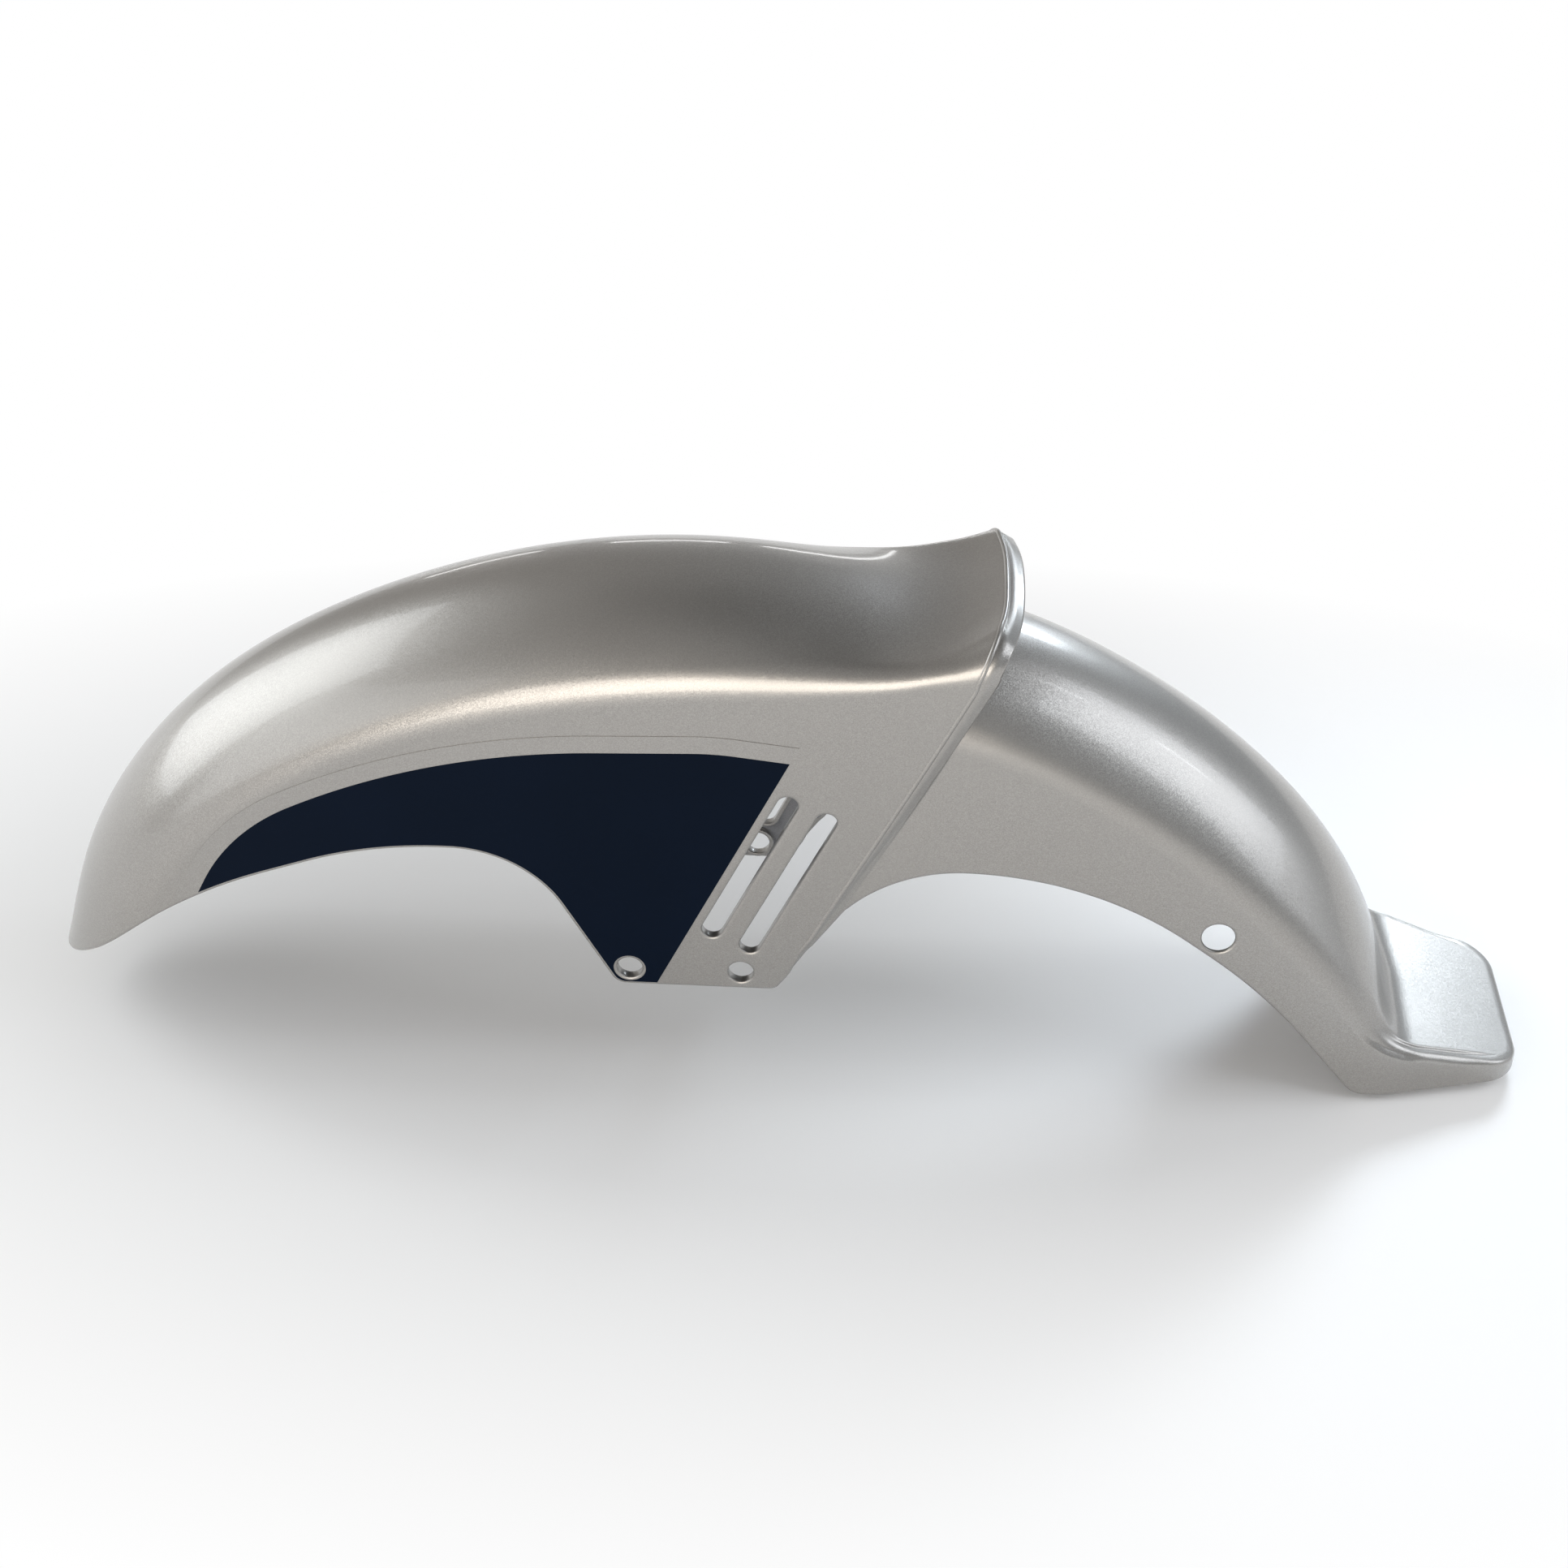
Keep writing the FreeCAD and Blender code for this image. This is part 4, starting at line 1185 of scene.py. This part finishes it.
for source, target in (
    (start.outputs["Surface"], surface.inputs["Object"]),
    (surface.outputs["Geometry"], look.inputs["Target Geometry"]),
    (start.outputs["Look"], look.inputs["Ray Direction"]),
    (start.outputs["Reach"], look.inputs["Ray Length"]),
    (start.outputs["Geometry"], facing_kept.inputs["Geometry"]),
    (look.outputs["Hit Normal"], facing_kept.inputs["Facing"]),
    (look.outputs["Hit Normal"], foot_step.inputs[0]),
    (start.outputs["Foot"], foot_step.inputs["Scale"]),
    (look.outputs["Hit Position"], seat_place.inputs[0]),
    (foot_step.outputs[0], seat_place.inputs[1]),
    (facing_kept.outputs["Geometry"], lay.inputs["Geometry"]),
    (seat_place.outputs[0], lay.inputs["Position"]),
    (lay.outputs["Geometry"], thicken.inputs["Mesh"]),
    (facing_kept.outputs["Facing"], thicken.inputs["Offset"]),
    (start.outputs["Thickness"], thicken.inputs["Offset Scale"]),
    (thicken.outputs["Mesh"], crisp.inputs["Geometry"]),
    (edge_angle.outputs["Unsigned Angle"], is_corner.inputs[0]),
    (is_corner.outputs[0], crisp.inputs["Selection"]),
    (crisp.outputs["Geometry"], realize.inputs["Geometry"]),
    (realize.outputs["Geometry"], colour_all.inputs["Geometry"]),
    (start.outputs["Colour"], colour_all.inputs["Material"]),
    (colour_all.outputs["Geometry"], colour_margin.inputs["Geometry"]),
    (margin_named.outputs["Attribute"], colour_margin.inputs["Selection"]),
    (start.outputs["Margin"], colour_margin.inputs["Material"]),
    (colour_margin.outputs["Geometry"], end.inputs["Geometry"]),
):
    tree.links.new(source, target)
print("tree", tree.name, "of", len(tree.nodes), "nodes")

# %% Laying the film on both sides
BESIDE = 200.0
REACH = 0.19
FILM_SPACING, FILM_GAP = 3.0, 1.6
FILM_HOLE, FILM_HOLE_POINTS = 9.3, 48


def beside_wall(places):
    """Points flat beside the mudguard, above places in side view."""
    return np.insert(places, 1, -BESIDE, axis=1)


def film_sheet(border, openings):
    """Points and triangles of one field of the film, flat beside the mudguard."""
    return fill(beside_wall(border), openings, beside_wall, FILM_SPACING, FILM_GAP)


bolt_cut = ring(bolt_places[0], FILM_HOLE, FILM_HOLE_POINTS)
fields = [film_sheet(colour_border, [bolt_cut]), film_sheet(clear_border, [])]
for side_name, side in (("left", 1), ("right", -1)):
    film = bmesh.new()
    for number, (points, faces) in enumerate(fields):
        corners = [film.verts.new(p) for p in points * (1, side, 1)]
        for face in faces:
            film.faces.new([corners[k] for k in face]).material_index = number
    bmesh.ops.remove_doubles(film, verts=film.verts, dist=MERGE)
    bmesh.ops.dissolve_degenerate(film, edges=film.edges, dist=MERGE)
    film.normal_update()
    film.faces.ensure_lookup_table()
    away = [face for face in film.faces if face.normal.y * side > 0]
    bmesh.ops.reverse_faces(film, faces=away)
    film.verts.index_update()
    sheet = [([vert.index for vert in face.verts], face.material_index) for face in film.faces]
    piece = make_piece(f"side_film_{side_name}", [vert.co for vert in film.verts], sheet, [])
    film.free()
    margin = piece.data.attributes.new("clear_margin", "BOOLEAN", "FACE")
    margin.data.foreach_set("value", [number == 1 for _, number in sheet])
    laid = {
        "Surface": shell,
        "Look": (0.0, float(side), 0.0),
        "Reach": REACH,
        "Thickness": (FILM - FILM_FOOT) * MILLIMETRE,
        "Foot": FILM_FOOT * MILLIMETRE,
        "Colour": blue,
        "Margin": clear,
    }
    apply_tree(piece, tree, sockets, laid)
    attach(piece, "root")
    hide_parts(f"decal_{side_name}")
    extent = np.array([corner[:] for corner in piece.bound_box]) / MILLIMETRE
    print(piece.name, "from", extent.min(0).round(1), "to", extent.max(0).round(1))

# %% [markdown]
# In the photograph the mudguard stands before plain white. A pale floor carries a soft shadow
# and fades into white with distance. That white is only seen, by the camera and in reflections,
# and adds no light. The camera looks down, so the floor fills its view.

# %% Floor
FLOOR_DROP, FLOOR_SIZE, FLOOR_MIDDLE = 0.004, 12.0, (0.05, 0.05)
FLOOR_GREY, FLOOR_ROUGHNESS = 0.9, 0.9
SHADE_OVAL = (0.55, 1.0, 1.0)
FADE_STARTS, FADE_ENDS = 0.22, 0.52
floor_height = min(corner[2] for corner in shell.bound_box) - FLOOR_DROP
bpy.ops.mesh.primitive_plane_add(size=FLOOR_SIZE, location=(*FLOOR_MIDDLE, floor_height))
floor = bpy.context.object
floor.name = "studio_floor"
floor_material, tree, shader, place = new_material("pale_floor")
shader.inputs["Base Color"].default_value = (FLOOR_GREY, FLOOR_GREY, FLOOR_GREY, 1.0)
shader.inputs["Roughness"].default_value = FLOOR_ROUGHNESS
oval = calculate(tree, "VectorMath", "MULTIPLY", place.outputs["Object"], SHADE_OVAL).outputs[0]
distance = calculate(tree, "VectorMath", "LENGTH", oval).outputs["Value"]
far_away = ramp(tree, distance, [(FADE_STARTS, (0.0,) * 3), (FADE_ENDS, (1.0,) * 3)])
rays = tree.nodes.new("ShaderNodeLightPath")
seen = rays.outputs["Is Camera Ray"]
for kind in ("Is Glossy Ray", "Is Transmission Ray"):
    seen = calculate(tree, "Math", "MAXIMUM", seen, rays.outputs[kind]).outputs[0]
white = tree.nodes.new("ShaderNodeEmission")
white.inputs["Strength"].default_value = 1.0
floor_mix = tree.nodes.new("ShaderNodeMixShader")
tree.links.new(calculate(tree, "Math", "MULTIPLY", far_away, seen).outputs[0], floor_mix.inputs["Fac"])
tree.links.new(shader.outputs[0], floor_mix.inputs[1])
tree.links.new(white.outputs[0], floor_mix.inputs[2])
tree.links.new(floor_mix.outputs[0], tree.nodes["Material Output"].inputs["Surface"])
floor.data.materials.append(floor_material)
print("floor at", round(floor_height, 3))

# %% [markdown]
# The world above is a plain studio: bright all round, with a darker patch overhead that gives
# the crown its dark middle, a little warm towards the nose and cool towards the tail. Two ramps
# make it, one over the angle to the dark patch and one along the mudguard.

# %% World
STUDIO_SKY = [(0.0, 0.8), (0.6, 0.8), (0.8, 0.75), (0.9, 0.6), (0.97, 0.34), (1.0, 0.26)]
SKY_STRENGTH = 0.5
DARK_PATCH = Vector((0.2, 0.1, 0.97)).normalized()
NOSE_SIDE, TAIL_SIDE = (1.0, 0.95, 0.9), (0.9, 0.95, 1.0)
world = bpy.data.worlds.new("studio")
bpy.context.scene.world = world
world.use_nodes = True
tree = world.node_tree
studio = tree.nodes["Background"]
direction = tree.nodes.new("ShaderNodeTexCoord").outputs["Generated"]
axes = tree.nodes.new("ShaderNodeSeparateXYZ")
tree.links.new(direction, axes.inputs[0])
lengthwise = calculate(tree, "Math", "MULTIPLY_ADD", axes.outputs["X"], 0.5, 0.5).outputs[0]
tint = ramp(tree, lengthwise, [(0.3, NOSE_SIDE), (0.8, TAIL_SIDE)])
towards = calculate(tree, "VectorMath", "DOT_PRODUCT", direction, DARK_PATCH).outputs["Value"]
grey = ramp(tree, towards, [(place, (level,) * 3) for place, level in STUDIO_SKY])
sky = tree.nodes.new("ShaderNodeMix")
sky.data_type = "RGBA"
sky.blend_type = "MULTIPLY"
sky.inputs["Factor"].default_value = 1.0
tree.links.new(grey, sky.inputs["A"])
tree.links.new(tint, sky.inputs["B"])
tree.links.new(sky.outputs["Result"], studio.inputs["Color"])
studio.inputs["Strength"].default_value = SKY_STRENGTH
print("world of", len(STUDIO_SKY), "tones")


# %% [markdown]
# Five soft lamps do the rest: two broad ones before the nose, a warm one beside the camera for
# the near shoulder, a cool one behind the tail, and a smaller one at the far side. That last one
# has a grid in front, so that it reaches the plate of the flap and little else. A few weak strips
# draw the short lines in the lacquer of the crest and of the rear half.

# %% Lamps
def soft_lamp(name, place, aim, size, power, colour, height=None):
    """An area lamp that faces a point, square unless it has a height of its own."""
    lamp = bpy.data.lights.new(name, "AREA")
    lamp.size = size
    if height:
        lamp.shape, lamp.size_y = "RECTANGLE", height
    lamp.energy = power
    lamp.color = colour
    holder = bpy.data.objects.new(name, lamp)
    holder.location = place
    holder.rotation_euler = (Vector(aim) - Vector(place)).to_track_quat("-Z", "Y").to_euler()
    bpy.context.collection.objects.link(holder)
    return holder


AIM = (0.03, 0.0, 0.08)
SOFTBOXES = [
    ("nose_softbox", (-2.2, 0.5, 1.2), 1.9, 30.0, (0.94, 0.98, 1.0)),
    ("front_softbox", (-1.9, -1.3, 0.95), 1.6, 10.0, (0.95, 0.98, 1.0)),
    ("near_softbox", (-0.4, -2.4, 0.5), 1.4, 27.0, (1.0, 0.93, 0.84)),
    ("tail_softbox", (2.3, -0.2, 1.45), 1.8, 26.0, (0.9, 0.94, 1.0)),
]
for name, spot, size, power, colour in SOFTBOXES:
    soft_lamp(name, spot, AIM, size, power, colour)
FLAP_SPOT, FLAP_AIM, FLAP_GRID = (0.73, 0.99, 0.57), (0.45, 0.0, -0.04), math.radians(32.0)
flap_lamp = soft_lamp("flap_softbox", FLAP_SPOT, FLAP_AIM, size=0.45, power=0.72, colour=(0.82, 0.91, 1.0))
flap_lamp.data.spread = FLAP_GRID
FAR_STRIPS, FAR_Y, FAR_Z = (-1.15, -0.35, 0.3), 3.0, 0.42
FAR_KIND = {"size": 0.5, "height": 0.09, "power": 0.9, "colour": (1.0, 1.0, 1.0)}
for number, x in enumerate(FAR_STRIPS):
    soft_lamp(f"far_strip_{number}", (x, FAR_Y, FAR_Z), AIM, **FAR_KIND)
TAIL_STRIPS, TAIL_Y, TAIL_AIM = ((0.95, 1.9), (1.5, 1.75), (2.0, 1.2)), 0.12, (0.3, 0.0, 0.1)
TAIL_KIND = {"size": 0.035, "height": 0.35, "power": 0.4, "colour": (0.95, 0.98, 1.0)}
for number, (x, z) in enumerate(TAIL_STRIPS):
    soft_lamp(f"tail_strip_{number}", (x, TAIL_Y, z), TAIL_AIM, **TAIL_KIND)
print(len(SOFTBOXES) + 1, "softboxes and", len(FAR_STRIPS) + len(TAIL_STRIPS), "strips")

# %% [markdown]
# The camera stands where the photograph was taken from: beside the mudguard, a little towards
# the tail, and well above it. Its place comes from two angles, a distance and the point it aims
# at, and its lens from a focal length in pixels. They were worked out from the wheel arch, the
# tab and the flap in the photograph.

# %% Camera
IMAGE = 1932
FOCAL_PIXELS = 3000.0
SENSOR = 36.0
AZIMUTH, ELEVATION, DISTANCE = math.radians(3.8), math.radians(34.0), 1326.0
TARGET = np.array([56.6, -63.1, 128.8])
right = Vector((math.cos(AZIMUTH), math.sin(AZIMUTH), 0.0))
back = Vector(
    (math.sin(AZIMUTH) * math.cos(ELEVATION), -math.cos(AZIMUTH) * math.cos(ELEVATION), math.sin(ELEVATION))
)
up = back.cross(right)
camera = bpy.data.objects.new("camera", bpy.data.cameras.new("camera"))
camera.data.sensor_width = SENSOR
camera.data.sensor_fit = "HORIZONTAL"
camera.data.lens = SENSOR * FOCAL_PIXELS / IMAGE
camera.data.clip_start = 0.05
spot = (Vector(TARGET) + back * DISTANCE) * MILLIMETRE
camera.matrix_world = Matrix(
    [(right[i], up[i], back[i], spot[i]) for i in range(3)] + [(0.0, 0.0, 0.0, 1.0)]
)
bpy.context.collection.objects.link(camera)
scene = bpy.context.scene
scene.camera = camera
scene.view_settings.view_transform = "Standard"
print("camera at", [round(c, 3) for c in spot], "lens", round(camera.data.lens, 1))

# %% [markdown]
# The dressed part is built to stay inside the box of the solids. That box is printed once more, in metres.

# %% The box of the solids
print("solids ", [[round(c, 4) for c in v] for v in solid_bounds])
